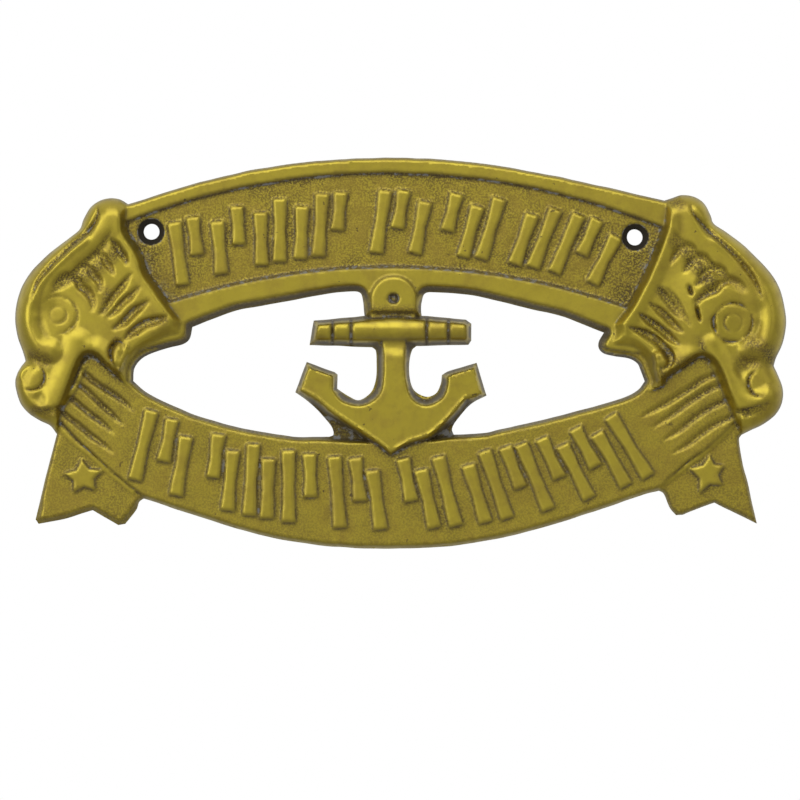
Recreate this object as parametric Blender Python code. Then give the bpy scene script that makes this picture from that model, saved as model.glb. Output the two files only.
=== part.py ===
"""A cast brass wall sign: an arch and a ribbon banner held apart by an anchor and two sea-beast heads.

Sizes are in millimetres and the mesh is made in metres. The front faces -Y, the flat back lies at y = 0,
X runs to the right and Z up. The origin is on the back, behind the anchor's shank.

The casting is one height field: relief() gives the height of the front over the wall at any point,
and the
plan is triangulated between its outline and the edges of its forms. Points of the drawing are in drawn
units, which SIGN_WIDTH scales.
"""

import math

import bpy
import numpy as np
from mathutils import Vector
from mathutils.geometry import delaunay_2d_cdt

MM = 0.001
SIGN_WIDTH = 230.7
DRAWN_WIDTH = 230.7
UNIT = SIGN_WIDTH / DRAWN_WIDTH
CORNER = True

# Heights over the wall
FOOT = 1.5
TAIL_LEVEL = 4.2
ARCH_LEVEL = 4.8
BANNER_LEVEL = 5.4
WEB_LEVEL = 2.4
NECK_LEVEL = 6.2
LUG_LEVEL = 7.4
ANCHOR_LEVEL = 8.0
STOCK_EDGE_LEVEL = 7.4
HEAD_LEVEL = 8.6

# Relief that stands on those levels or is cut into them
RIM_RISE = 1.4
STROKE_RISE = 1.1
STAR_RISE = 1.1
STOCK_CROWN = 2.0
BAND_DEPTH = 1.1
FLUTE_DEPTH = 1.6
RECESS_DEPTH = 1.5
EYE_DEPTH = 0.7
DIMPLE_DEPTH = 2.6
MOUND_LIMIT = 2.4

# Width of the drafted walls, seen from the front
TOP_DRAFT = 0.6
ARCH_DRAFT = 2.1
BANNER_DRAFT = 1.1
TAIL_DRAFT = 1.0
ANCHOR_DRAFT = 2.0
STOCK_DRAFT = 1.6
FEATURE_DRAFT = 0.6

# Screw holes, countersunk, and the blind dimple in the anchor's lug
HOLE_RADIUS = 2.4
SINK_RADIUS = 4.2
DIMPLE_RADIUS = 1.6
LUG_RADIUS = 6.9
HOLE_SIDES = 16
HOLES = [(-74.6, 36.1), (70.2, 34.5)]
DIMPLE = (-2.1, 16.1)
LUG_FLAT = 12.5

# Arcs that bound the sunk fields: crown height, radius and sideways lean
FIELD_TOP = (54.0, 217.0, -4.0)
FIELD_BOTTOM = (25.3, 212.0, -3.0)
BANNER_TOP = (-26.0, -216.0, -7.0)
ARCH_REACH = 84.0

# Rows of raised strokes: places along the row, and the count of bars at each
STROKE_WIDTH = 3.9
STROKE_FLARE = 1.25
STROKE_PITCH = 5.9
STROKE_LENGTHS = (1.0, 0.62, 0.84)
STROKE_SHIFTS = (0.0, 0.19, -0.08)
TOP_ROW = dict(arc=(39.0, 216.0, -3.0), length=19.5, lean=9.0,
               places=[-60.5, -42, -24, 0, 21, 40, 55.5], counts=[3, 3, 3, 3, 3, 2, 3])
BOTTOM_ROW = dict(arc=(-42.4, -190.0, -4.0), length=22.0, lean=-9.0,
                  places=[-71, -50.5, -33.5, -13, 8, 28.5, 46, 62.5], counts=[3] * 8)

# Triangulation
LINE_TOLERANCE = 0.07
SURFACE_TOLERANCE = 0.14
RASTER = 0.7
SPOT_GAP = 1.25
SPOTS_EACH_ROUND = 300
ROUNDS = 7

# The outline, anticlockwise from the top right
ARCH_TOP = [(79, 45.5, CORNER), (60, 49.8), (40, 54.0), (20, 57.1), (0, 58.3), (-20, 57.7), (-40, 55.4),
            (-60, 51.0), (-81.5, 44.4, CORNER)]
LEFT_BROW = [(-81.5, 44.4), (-84, 45.8), (-87, 46.2), (-90, 45.5), (-92.9, 43.4), (-94.9, 40),
             (-96.0, 37.0), (-99, 34.4), (-105, 29.7), (-110, 25), (-113.3, 20), (-115.1, 14.5),
             (-115.4, 9.5), (-114.6, 4.8), (-113.1, 0.2), (-112.3, -2.6, CORNER), (-113.8, -4.6),
             (-115.3, -8), (-115.2, -11), (-114.0, -15), (-111.4, -18.2), (-108, -20.4), (-105, -21.9),
             (-103.0, -24.5, CORNER)]
LEFT_TAIL = [(-103.0, -24.5), (-109.3, -50.0, CORNER), (-108.4, -51.3, CORNER), (-101, -49.9),
             (-92.2, -47.3, CORNER), (-84.6, -51.7, CORNER), (-82.5, -51.3, CORNER), (-79.3, -47.2),
             (-78.4, -44.8), (-77.0, -43.8, CORNER)]
BANNER_EDGE = [(-77.0, -43.8), (-75, -44.4), (-60, -49.3), (-40, -55.2), (-20, -58.2), (0, -58.8),
               (20, -57.4), (40, -53.2), (60, -47.0), (72, -42.8), (77.5, -41.4, CORNER)]
RIGHT_TAIL = [(77.5, -41.4), (79, -42.4), (81.0, -46.8), (82.6, -48.8, CORNER), (84.6, -48.7, CORNER),
              (88.6, -46.9), (94, -45.1, CORNER), (106.8, -51.3, CORNER), (104.2, -40), (102.4, -33),
              (101.4, -26), (102.2, -24.6, CORNER)]
RIGHT_BROW = [(102.2, -24.6), (104.8, -23.4), (108.5, -21.6), (112.2, -18.8), (114.3, -15), (114.6, -11),
              (113.2, -7), (111.8, -4.0, CORNER), (112.4, -1.8), (114.2, 2), (115.3, 7), (115.2, 12.5),
              (113.4, 19.4), (109.6, 25.2), (103.6, 31.3), (97.3, 36.2), (93.8, 38.7), (92.9, 41),
              (91, 44.5), (88, 46.6), (84.5, 47.1), (81.4, 46.2), (79, 45.5, CORNER)]
LEFT_OPENING = [(-11.2, 15.5), (-10.9, 12.5), (-10.7, 10.9, CORNER), (-15, 10.5), (-26, 9.5, CORNER),
                (-27.3, 2.2, CORNER), (-8.6, 1.6, CORNER), (-7.4, 0.4), (-7.1, -5), (-7.6, -9),
                (-9.1, -12.3), (-12.5, -14.3), (-15.6, -13.1), (-19, -10.8, CORNER),
                (-18.9, -6.6, CORNER), (-19.8, -5.8, CORNER), (-28.1, -2.9, CORNER), (-31.6, -12, CORNER),
                (-27.4, -14.9), (-22.5, -19.8), (-20.5, -22.6), (-20.1, -24.7), (-21.4, -25.3, CORNER),
                (-32, -25.2), (-40, -24.0), (-50, -22.1), (-60, -19.3), (-70, -15.1), (-76, -12),
                (-80.1, -8.6, CORNER), (-79.9, -5), (-78, -2.3), (-75, -0.5), (-70, 1.3), (-65.3, 2.5),
                (-63.2, 4.2), (-62.5, 7.6, CORNER), (-50, 12.3), (-40, 14.3), (-30, 16.1), (-20, 17.8),
                (-14, 18.2), (-11.9, 17.6)]
RIGHT_OPENING = [(6.3, 15), (6.1, 12.5), (6.2, 10.9, CORNER), (10, 10.7), (19.6, 9.8, CORNER),
                 (21.2, 8.6, CORNER), (21.2, 3.6, CORNER), (20.3, 2.3, CORNER), (10, 2.1),
                 (4.7, 1.9, CORNER), (3.4, 0.6), (2.7, -3), (2.8, -8), (4.3, -11.5), (7.8, -13.2),
                 (10.6, -12.3), (12, -9.5), (12.4, -6.8, CORNER), (14.5, -5.6), (22.8, -3.1, CORNER),
                 (25.8, -12.9, CORNER), (21, -15.7), (17, -20), (15.5, -22.9), (16.0, -24.7, CORNER),
                 (25, -24.2), (30, -23.0), (40, -20.8), (50, -18.4), (60, -15.6), (68, -13.1),
                 (71.4, -11.2), (73.2, -8.6, CORNER), (71.9, -5.2), (71, -3.4), (68.5, -1.8), (64, -1.1),
                 (60.9, -0.3), (59.4, 1.4), (59.5, 3.4), (61.0, 5.9, CORNER), (50, 10.3), (40, 12.8),
                 (30, 15.3), (20, 17.3), (10, 18.1), (7.2, 17.6)]

# Forms that lie behind or across the outline
BANNER_END_LEFT = [(-56, -60, CORNER), (-74.2, -44.6, CORNER), (-77, -43.8), (-83, -39.4), (-90, -33.4),
                   (-97, -26.8), (-103.6, -20, CORNER), (-103.8, -12, CORNER), (-92, 2, CORNER),
                   (-56, 2, CORNER)]
BANNER_END_RIGHT = [(50, -60, CORNER), (70, -44.6, CORNER), (77.5, -41.2), (81, -38.2), (86, -33.8),
                    (92, -29.4), (97, -25), (101.8, -20, CORNER), (102, -12, CORNER), (90, 2, CORNER),
                    (50, 2, CORNER)]
ANCHOR_FACE = [(-5.1, 4, CORNER), (-4.8, -3), (-5.2, -10), (-7, -13.6), (-10, -15.6), (-13.6, -16),
               (-17.6, -14.6), (-20, -11.6), (-20.4, -8.6), (-20.2, -6.2, CORNER), (-28.1, -3.3, CORNER),
               (-31, -10.8, CORNER), (-25.6, -13.8), (-20, -18.2), (-11, -24), (-6, -27.4),
               (-3, -30, CORNER), (2, -27.1), (8, -25), (12, -22), (15.2, -18.6), (18, -15.4),
               (19.6, -13.8, CORNER), (25.4, -12.4, CORNER), (22.6, -3.5, CORNER), (14.2, -6.2, CORNER),
               (14.1, -10), (12.8, -13.4), (10, -15.4), (7.2, -15.9), (4.2, -14.8), (2.2, -12), (1.3, -8),
               (1.1, -3), (1.2, 4, CORNER)]
STOCK = [(-27.3, 2.2, CORNER), (-26.1, 9.6, CORNER), (-15, 10.5), (-8, 11.1), (-2, 11.7), (5, 11.1),
         (12, 10.6), (19.7, 9.9, CORNER), (21.3, 8.6, CORNER), (21.3, 3.5, CORNER), (20.2, 2.2, CORNER),
         (8, 2.0), (-2, 1.7), (-14, 1.9)]
STOCK_MIDDLE = 6.9
STOCK_HALF_HEIGHT = 3.6
STOCK_BANDS = (-20.4, -14.7, 7.8, 14.3)
BAND_HALF_WIDTH = 0.8
NECK = [(-12.4, 21, CORNER), (-11.2, 15.5), (-10.7, 9, CORNER), (6.2, 9, CORNER), (6.3, 15.4),
        (7.2, 21, CORNER)]
STAR_LEFT = [(-95.6, -31.4), (-88.6, -35.2), (-90.9, -41.6), (-98, -42.4), (-101.2, -36.2)]
STAR_RIGHT = [(92.5, -30), (97.3, -33.6), (96.6, -40), (89.2, -42.8), (86, -34.7)]
STAR_WAIST = 0.68
FLUTES = [
    [(-94.4, -5.6), (-88, -12), (-80.2, -17.2)],
    [(-97, -9.6), (-90.4, -15.6), (-82.8, -21.6)],
    [(-99, -14), (-92, -19.6), (-84.2, -24.6)],
    [(-101, -18), (-93.6, -24.4), (-85.8, -30.2)],
    [(92, -7.6), (83, -13), (71.2, -19)],
    [(95, -10.6), (85, -16.5), (74.8, -22.2)],
    [(96.6, -15.2), (87, -20.6), (77.8, -26)],
    [(99.4, -19.4), (90, -25), (81.2, -30)],
]
FLUTE_HALF_WIDTH = 1.3
GROOVE_TAPER = 0.35

# The heads: inner edges, swellings (points, half width, rise), grooves (points, half width, depth)
LEFT_HEAD = dict(
    brow=LEFT_BROW,
    chin=[(-103.0, -24.5), (-102.0, -20.6), (-101.2, -17.6), (-99.2, -13.4), (-97.6, -8.6), (-95.6, -3.8),
          (-93.8, -1.2), (-91.6, -1.2), (-88.8, -3.8), (-86, -6.4), (-81.6, -10.2)],
    jaw=[(-81.6, -10.2, CORNER), (-60, -4, CORNER), (-59, 9, CORNER), (-64.6, 9.6)],
    collar=[(-64.6, 9.6), (-66.2, 11), (-69, 15), (-72.5, 20), (-75.4, 24), (-76.4, 27.5), (-78.4, 31.8),
            (-81.4, 36.3), (-81.6, 40), (-81.5, 44.4)],
    mounds=[([(-101, 8), (-96, 2), (-93, 2)], 13, 1.0),
            ([(-97, 2), (-100, -5), (-103, -13), (-106.5, -17)], 6.5, 0.8),
            ([(-93, 3), (-88, -1.5), (-85.5, -6)], 5.5, 0.6),
            ([(-83.6, 41), (-82.4, 35), (-79.6, 29.4), (-77, 23.4), (-73.6, 18), (-70, 12.8),
              (-66.6, 8.6)], 3.2, 1.3),
            ([(-113, 12), (-111.6, 5), (-108, 1.2), (-103.6, 0.6)], 3.4, 1.2),
            ([(-110.8, -6.6), (-110.2, -6.4)], 3.6, 1.5), ([(-92.4, 42.6), (-93, 39.6)], 2.4, 0.8),
            ([(-83.4, 0.2), (-83.9, -2.6)], 1.7, 1.1)],
    hollow=([(-109.4, -2.4), (-106, -2.4), (-104.6, -4.6)], 3.4, 2.2),
    grooves=[([(-90.4, 44.2), (-90.2, 41), (-92, 37.4), (-97, 33), (-101, 29.3), (-105, 25.2),
               (-108.6, 20.4), (-110.4, 14.6)], 1.5, 1.7),
             ([(-106.9, -4.4), (-106.2, -7.4), (-107.6, -10.8), (-110.4, -11.8), (-112.8, -10)],
              1.5, 2.2),
             ([(-80.6, 23.4), (-85.4, 18), (-89.6, 10.8)], 1.3, 1.5),
             ([(-78.2, 19.2), (-83, 15.4), (-87.6, 10.2)], 1.1, 1.4),
             ([(-75.6, 15.2), (-80.6, 12.2), (-85.6, 7)], 1.4, 1.7),
             ([(-69.8, 10.4), (-75, 9.2), (-80.6, 5.8), (-83, 3.8)], 1.5, 1.8),
             ([(-82.6, 2.6), (-85.4, 3.6), (-86.6, 1.2), (-86, -2.4)], 1.0, 1.2)],
    recess=[(-86.4, 36.2), (-84.6, 35.2), (-82.4, 31), (-80.8, 27.6), (-82, 25.4), (-85.4, 22.6),
            (-89, 17.4), (-92.4, 12.6, CORNER), (-93, 16), (-94.4, 18), (-96.2, 19), (-97, 20.8),
            (-99, 21.8), (-101.4, 21), (-104.2, 18, CORNER), (-101, 22), (-95.6, 27), (-90.4, 31.6)],
    tongues=[[(-97.6, 23.2), (-95.8, 24.9), (-93.9, 25.1), (-92.8, 23.3), (-91.6, 21.7), (-90.3, 20.6),
              (-90.2, 18.8), (-92.2, 18.8), (-94.6, 20.6)],
             [(-93, 27.4), (-91.2, 28.8), (-89.2, 28), (-88.4, 26), (-87, 24.8), (-86.2, 23.4),
              (-87.6, 21.8), (-89.2, 23.4), (-90.8, 25.4)],
             [(-89.2, 31.4), (-87, 32.6), (-85.6, 30.6), (-84.6, 28.8), (-83.2, 27.8), (-82.4, 26.4),
              (-84.4, 25), (-86.2, 26.6), (-87.4, 29)]],
    eye=(-102.2, 11.2),
)
RIGHT_HEAD = dict(
    brow=RIGHT_BROW,
    chin=[(79, -9.6), (80, -7.5), (84, -5.2), (87, -3), (90, -1.5), (92.8, -3), (94.8, -6.4), (97, -12),
          (98.9, -16.9), (100.6, -20.4), (102.2, -24.6)],
    jaw=[(61.8, 6.6, CORNER), (56, 5, CORNER), (56, -5, CORNER), (74.5, -11.5, CORNER), (79, -9.6)],
    collar=[(79, 45.5), (78.6, 41), (77.9, 37), (75.8, 31), (72.8, 24), (69, 16.5), (65.8, 11.5),
            (61.8, 6.6)],
    mounds=[([(98, 6), (94, 0), (90, 2)], 13, 1.0), ([(95.4, 0), (99, -7), (102, -13.6), (107.5, -15.4)],
                                                     6.0, 0.8),
            ([(90, 3), (85, -1.5), (80, -5.4)], 5.5, 0.6),
            ([(80.6, 41), (79.8, 35), (77.6, 28), (74.4, 21), (70.8, 14), (67, 8), (63.4, 3.8)], 3.2,
             1.4),
            ([(112.2, 12), (111.4, 5), (108.6, 1.4), (104, 0.8)], 3.4, 1.2),
            ([(107.8, -9), (107.4, -9.6)], 3.4, 1.5), ([(90, 43.6), (91, 40.4)], 2.4, 0.8),
            ([(77.9, -1.2), (77.9, -2.6)], 1.9, 1.2)],
    hollow=([(109.6, -3.4), (105, -2.6), (103, -5)], 3.6, 2.2),
    grooves=[([(86.8, 45), (87.2, 42), (89.6, 38.8), (93.4, 34.8), (97.6, 31), (102, 26.5), (105.6, 21.4),
               (108.2, 15.2)], 1.5, 1.7),
             ([(106.4, -5), (103.8, -7), (103.8, -10), (106, -12.8), (109, -12.6)], 1.5, 2.2),
             ([(77, 19.6), (80.4, 15.4), (83.6, 11.4), (86.4, 7)], 1.5, 1.5),
             ([(74.4, 14.6), (79.2, 11), (84.4, 5.8)], 1.3, 1.4),
             ([(71.6, 11.4), (75.5, 8.6), (79.6, 5), (83.6, 2)], 1.4, 1.7),
             ([(68, 7.2), (72.4, 7), (76.5, 4.4), (79.8, 1.6), (81.7, -1.4), (80.6, -4), (78.8, -4.8)],
              1.5, 1.8)],
    recess=[(81.4, 35.6), (79.8, 34.4), (79, 31), (80, 27), (82.6, 23), (86.4, 16.6),
            (88.6, 12.8, CORNER), (90.4, 16), (92.6, 17.2), (94.5, 18.1), (96, 19.8), (98, 20.6),
            (100.5, 20.2), (103, 18, CORNER), (100, 21.6), (95.5, 25.4), (92.5, 27.8), (88, 30.6),
            (84, 34)],
    tongues=[[(97.4, 21.9), (95.6, 24), (93.2, 24.3), (91.2, 23), (90.4, 21), (88.6, 19.5), (88, 17.4),
              (89.6, 16.8), (91.8, 18.2), (93.8, 19), (95.2, 20.6)],
             [(92.2, 25.4), (90.6, 27.3), (88.2, 27.6), (86.6, 26), (85.6, 24), (84.6, 22.4),
              (85.2, 20.8), (87, 20.6), (89, 21.8), (90.6, 23.6)],
             [(88.2, 29), (86.6, 30.6), (84.6, 31), (82.6, 28.8), (80.8, 27), (81, 25), (82.4, 23.8),
              (84.4, 25), (86, 27)]],
    eye=(99.3, 9.1),
)
EYE_RADIUS = 5.4
PUPIL_RADIUS = 2.3
RING_HALF_WIDTH = 0.8
BROW_ROUND = 5.6
JAW_ROUND = 6.5
CHIN_ROUND = 2.2
COLLAR_ROUND = 2.4
REACH = 14.0


def curve(points, spacing=0.8, closed=False):
    """A smooth line through the drawn points, which keeps the corners that are marked."""
    knots = [np.array(p[:2], float) * UNIT for p in points]
    corners = [len(p) == 3 for p in points]
    ring = closed and not any(corners)
    if closed:
        first = 0 if ring else corners.index(True)
        knots = knots[first:] + knots[:first + 1]
        corners = corners[first:] + corners[:first + 1]
    cuts = [0] + [i for i in range(1, len(knots) - 1) if corners[i]] + [len(knots) - 1]
    line = []
    for start, end in zip(cuts, cuts[1:]):
        run = knots[start:end + 1]
        before = knots[-2] if ring else 2 * run[0] - run[1]
        after = knots[1] if ring else 2 * run[-1] - run[-2]
        line += smooth_run([before, *run, after], spacing)[:-1]
    return np.array(line if closed else line + [knots[-1]])


def smooth_run(knots, spacing):
    """Evenly spaced points on a centripetal curve from the second knot to the last but one."""
    gaps = [max(float(np.linalg.norm(b - a)), 1e-6) ** 0.5 for a, b in zip(knots, knots[1:])]
    dense = []
    for i in range(1, len(knots) - 2):
        p, q, gap = knots[i], knots[i + 1], gaps[i]
        leaving = (q - knots[i - 1]) / (gap + gaps[i - 1]) * gap
        arriving = (knots[i + 2] - p) / (gap + gaps[i + 1]) * gap
        for t in np.linspace(0, 1, 16, endpoint=False):
            a, b = 2 * t ** 3 - 3 * t ** 2 + 1, t ** 3 - 2 * t ** 2 + t
            dense.append(a * p + b * leaving + (1 - a) * q + (t ** 3 - t ** 2) * arriving)
    dense = np.array(dense + [knots[-2]])
    along = np.concatenate([[0], np.cumsum(np.linalg.norm(np.diff(dense, axis=0), axis=1))])
    at = np.linspace(0, along[-1], max(1, round(along[-1] / spacing)) + 1)
    return list(np.column_stack([np.interp(at, along, dense[:, 0]), np.interp(at, along, dense[:, 1])]))


def near(line, x, z, reach):
    """Distance from each point to an open line, up to reach, and how far along the line that is, 0 to 1."""
    squared = np.full(x.shape, float(reach) ** 2)
    share = np.zeros(x.shape)
    steps = np.linalg.norm(np.diff(line, axis=0), axis=1)
    run = 0.0
    for a, b, step in zip(line, line[1:], steps):
        low, high = np.minimum(a, b) - reach, np.maximum(a, b) + reach
        k = np.flatnonzero((x > low[0]) & (x < high[0]) & (z > low[1]) & (z < high[1]))
        e = b - a
        s = np.clip(((x[k] - a[0]) * e[0] + (z[k] - a[1]) * e[1]) / max(step * step, 1e-12), 0, 1)
        d = (x[k] - a[0] - s * e[0]) ** 2 + (z[k] - a[1] - s * e[1]) ** 2
        closer = d < squared[k]
        squared[k[closer]] = d[closer]
        share[k[closer]] = (run + s[closer] * step) / steps.sum()
        run += step
    return np.sqrt(squared), share


def inside(loop, x, z):
    """Which points lie in a closed loop."""
    hit = np.zeros(x.shape, bool)
    for a, b in zip(loop, np.roll(loop, -1, 0)):
        if a[1] != b[1]:
            crosses = (a[1] > z) != (b[1] > z)
            hit ^= crosses & (x < (b[0] - a[0]) * (z - a[1]) / (b[1] - a[1]) + a[0])
    return hit


def depth_in(loop, x, z, reach=REACH):
    """Distance to a closed loop, up to reach: above 0 inside it and below 0 outside."""
    distance, _ = near(np.vstack([loop, loop[:1]]), x, z, reach)
    return np.where(inside(loop, x, z), distance, -distance)


def under_arc(x, z, arc):
    """How far each point lies under an arc; a negative radius makes it a hollow one."""
    crown, radius, lean = (value * UNIT for value in arc)
    return radius - math.copysign(1, radius) * np.hypot(x - lean, z - crown + radius)


def wall(distance, level, draft, base=FOOT):
    """Height of a drafted wall at a distance in from its foot."""
    return base + (level - base) * np.clip(distance / draft, -2, 1)


def rounded(distance, level, width, base=FOOT):
    """Height of a rounded edge at a distance in from its foot."""
    t = np.clip(distance / width, 0, 1)
    below = 3 * np.clip(distance / width, -2, 0)
    return base + (level - base) * np.where(distance > 0, np.sqrt(1 - (1 - t) ** 2), below)


def bell(distance, half):
    return np.clip(1 - (distance / half) ** 2, 0, 1) ** 2


def grooved(height, x, z, points, half, depth):
    """Cuts a groove that tapers at both ends."""
    distance, share = near(curve(points), x, z, half)
    k = np.sqrt(np.clip(np.minimum(share, 1 - share) / GROOVE_TAPER, 0, 1))
    width = np.maximum(half * k, 1e-3)
    swing = 0.5 + 0.5 * np.cos(np.pi * distance / width)
    return height - depth * k * np.where(distance < width, swing, 0)


def outline():
    """The loops that bound the casting: its outside, two openings and two screw holes."""
    runs = (ARCH_TOP, LEFT_BROW, LEFT_TAIL, BANNER_EDGE, RIGHT_TAIL, RIGHT_BROW)
    outside = np.vstack([curve(run)[:-1] for run in runs])
    openings = [curve(points, closed=True) for points in (LEFT_OPENING, RIGHT_OPENING)]
    holes = [circle(hole, HOLE_RADIUS, HOLE_SIDES) for hole in HOLES]
    return [outside, *openings, *holes]


def circle(centre, radius, sides):
    """A loop whose area is that of the round circle."""
    turn = np.linspace(0, 2 * math.pi, sides, endpoint=False)
    reach = radius * math.sqrt(2 * math.pi / sides / math.sin(2 * math.pi / sides))
    return np.column_stack([np.cos(turn), np.sin(turn)]) * reach + np.array(centre) * UNIT


def head_loop(head):
    """The outline of a head as one loop."""
    runs = [curve(head[name]) for name in ("brow", "chin", "jaw", "collar")]
    if head is RIGHT_HEAD:
        runs = [curve(head[name]) for name in ("chin", "brow", "collar", "jaw")]
    return np.vstack([run[:-1] for run in runs])


def star_loop(tips):
    """A star's outline from its tips."""
    centre = np.mean(tips, axis=0)
    loop = []
    for tip, following in zip(tips, tips[1:] + tips[:1]):
        waist = centre + (np.mean([tip, following], axis=0) - centre) * STAR_WAIST
        loop += [(*tip, CORNER), (*waist, CORNER)]
    return curve(loop, 3.0, closed=True)


def stroke_loops(inset=0.0):
    """Outlines of the raised bars of both rows, drawn in by an inset."""
    loops = []
    for row in (TOP_ROW, BOTTOM_ROW):
        crown, radius, lean = (value * UNIT for value in row["arc"])
        for place, (middle, count) in enumerate(zip(row["places"], row["counts"])):
            for bar in range(count):
                along = middle * UNIT + (bar - (count - 1) / 2) * STROKE_PITCH
                turn = math.asin((along - lean) / radius)
                cycle = (place + bar) % len(STROKE_LENGTHS)
                length = row["length"] * STROKE_LENGTHS[cycle]
                out = radius + row["length"] * STROKE_SHIFTS[cycle]
                centre = (lean + out * math.sin(turn), crown - radius + out * math.cos(turn))
                loops.append(bar_loop(centre, turn + math.radians(row["lean"]), length, inset))
    return loops


def bar_loop(centre, turn, length, inset):
    """One bar with flared ends, turned clockwise from upright."""
    up = np.array([math.sin(turn), math.cos(turn)])
    side = np.array([up[1], -up[0]])
    loop = []
    for hand in (-1, 1):
        for end in (-hand, 0, hand):
            half = STROKE_WIDTH / 2 * (STROKE_FLARE if end else 1) - inset
            loop.append(np.array(centre) - side * hand * half + up * end * (length / 2 - inset))
    return np.array(loop)


def arch_height(x, z, loops):
    """The arch: a sunk field between two rims."""
    outer, _ = near(closed(loops[0]), x, z, REACH)
    opening = nearest(loops[1:3], x, z)
    rim = np.minimum(wall(outer, ARCH_LEVEL + RIM_RISE, TOP_DRAFT),
                     wall(opening, ARCH_LEVEL + RIM_RISE, ARCH_DRAFT))
    field = np.minimum(under_arc(x, z, FIELD_TOP), -under_arc(x, z, FIELD_BOTTOM))
    height = np.minimum(rim, ARCH_LEVEL + RIM_RISE - RIM_RISE * np.clip(field / FEATURE_DRAFT, 0, 1))
    return np.where((np.abs(x) < ARCH_REACH * UNIT) & (z > 0), height, -9)


def nearest(loops, x, z):
    """Distance to the nearest of some loops."""
    return np.minimum.reduce([near(closed(loop), x, z, REACH)[0] for loop in loops])


def closed(loop):
    return np.vstack([loop, loop[:1]])


def banner_height(x, z, loops):
    """The lower banner with its fluted ends."""
    outer, _ = near(closed(loops[0]), x, z, REACH)
    opening = nearest(loops[1:3], x, z)
    edge = np.minimum(wall(outer, BANNER_LEVEL, BANNER_DRAFT), wall(opening, BANNER_LEVEL, BANNER_DRAFT))
    across = under_arc(x, z, BANNER_TOP)
    middle = np.where((x > -66 * UNIT) & (x < 60 * UNIT) & (z < 0),
                      wall(across, BANNER_LEVEL, BANNER_DRAFT), -9)
    for end in (BANNER_END_LEFT, BANNER_END_RIGHT):
        within = depth_in(curve(end, closed=True), x, z)
        middle = np.maximum(middle, wall(within, BANNER_LEVEL, BANNER_DRAFT))
    height = np.minimum(edge, middle)
    for flute in FLUTES:
        height = grooved(height, x, z, flute, FLUTE_HALF_WIDTH, FLUTE_DEPTH)
    return height


def tail_height(x, z, loops):
    """The ribbon's forked tails, each with a star."""
    outer, _ = near(closed(loops[0]), x, z, REACH)
    height = np.where((z < -15 * UNIT) & (np.abs(x) > 76 * UNIT), wall(outer, TAIL_LEVEL, TAIL_DRAFT), -9)
    for tips in (STAR_LEFT, STAR_RIGHT):
        height = height + STAR_RISE * np.clip(depth_in(star_loop(tips), x, z) / FEATURE_DRAFT, 0, 1)
    return height


def anchor_height(x, z, loops):
    """The anchor: arms and shank, stock, and the lug on its neck."""
    opening = nearest(loops[1:3], x, z)
    face = depth_in(curve(ANCHOR_FACE, closed=True), x, z)
    slope = (ANCHOR_LEVEL - FOOT) / ANCHOR_DRAFT
    near_it = (x > -34 * UNIT) & (x < 28 * UNIT) & (z < 5 * UNIT) & (z > -31 * UNIT)
    body = np.maximum(np.minimum(ANCHOR_LEVEL, ANCHOR_LEVEL + slope * face), WEB_LEVEL)
    body = np.where(near_it, body, -9)
    stock_in = depth_in(curve(STOCK, closed=True), x, z)
    crown = np.clip(1 - ((z - STOCK_MIDDLE * UNIT) / (STOCK_HALF_HEIGHT * UNIT)) ** 2, 0, 1)
    inner = np.clip(stock_in / STOCK_DRAFT, 0, 1)
    stock = wall(stock_in, STOCK_EDGE_LEVEL, STOCK_DRAFT) + STOCK_CROWN * crown * inner
    for band in STOCK_BANDS:
        stock = stock - BAND_DEPTH * bell(x - band * UNIT, BAND_HALF_WIDTH) * inner
    neck = wall(depth_in(curve(NECK, closed=True), x, z), NECK_LEVEL, ANCHOR_DRAFT)
    beside_it, above_it = x - DIMPLE[0] * UNIT, z - DIMPLE[1] * UNIT
    beyond = np.hypot(beside_it, np.maximum(above_it, 0)) - LUG_RADIUS
    lug = LUG_LEVEL - slope * np.maximum(np.maximum(beyond, LUG_FLAT * UNIT - z), 0)
    reach = np.hypot(beside_it, above_it)
    sunk = np.clip((DIMPLE_RADIUS - reach) / DIMPLE_RADIUS * 2, 0, 1)
    lug = np.minimum(lug, LUG_LEVEL - DIMPLE_DEPTH * sunk)
    limit = wall(opening, STOCK_EDGE_LEVEL + STOCK_CROWN, STOCK_DRAFT)
    return np.minimum(np.maximum.reduce([body, stock, neck, lug]), limit)


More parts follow.
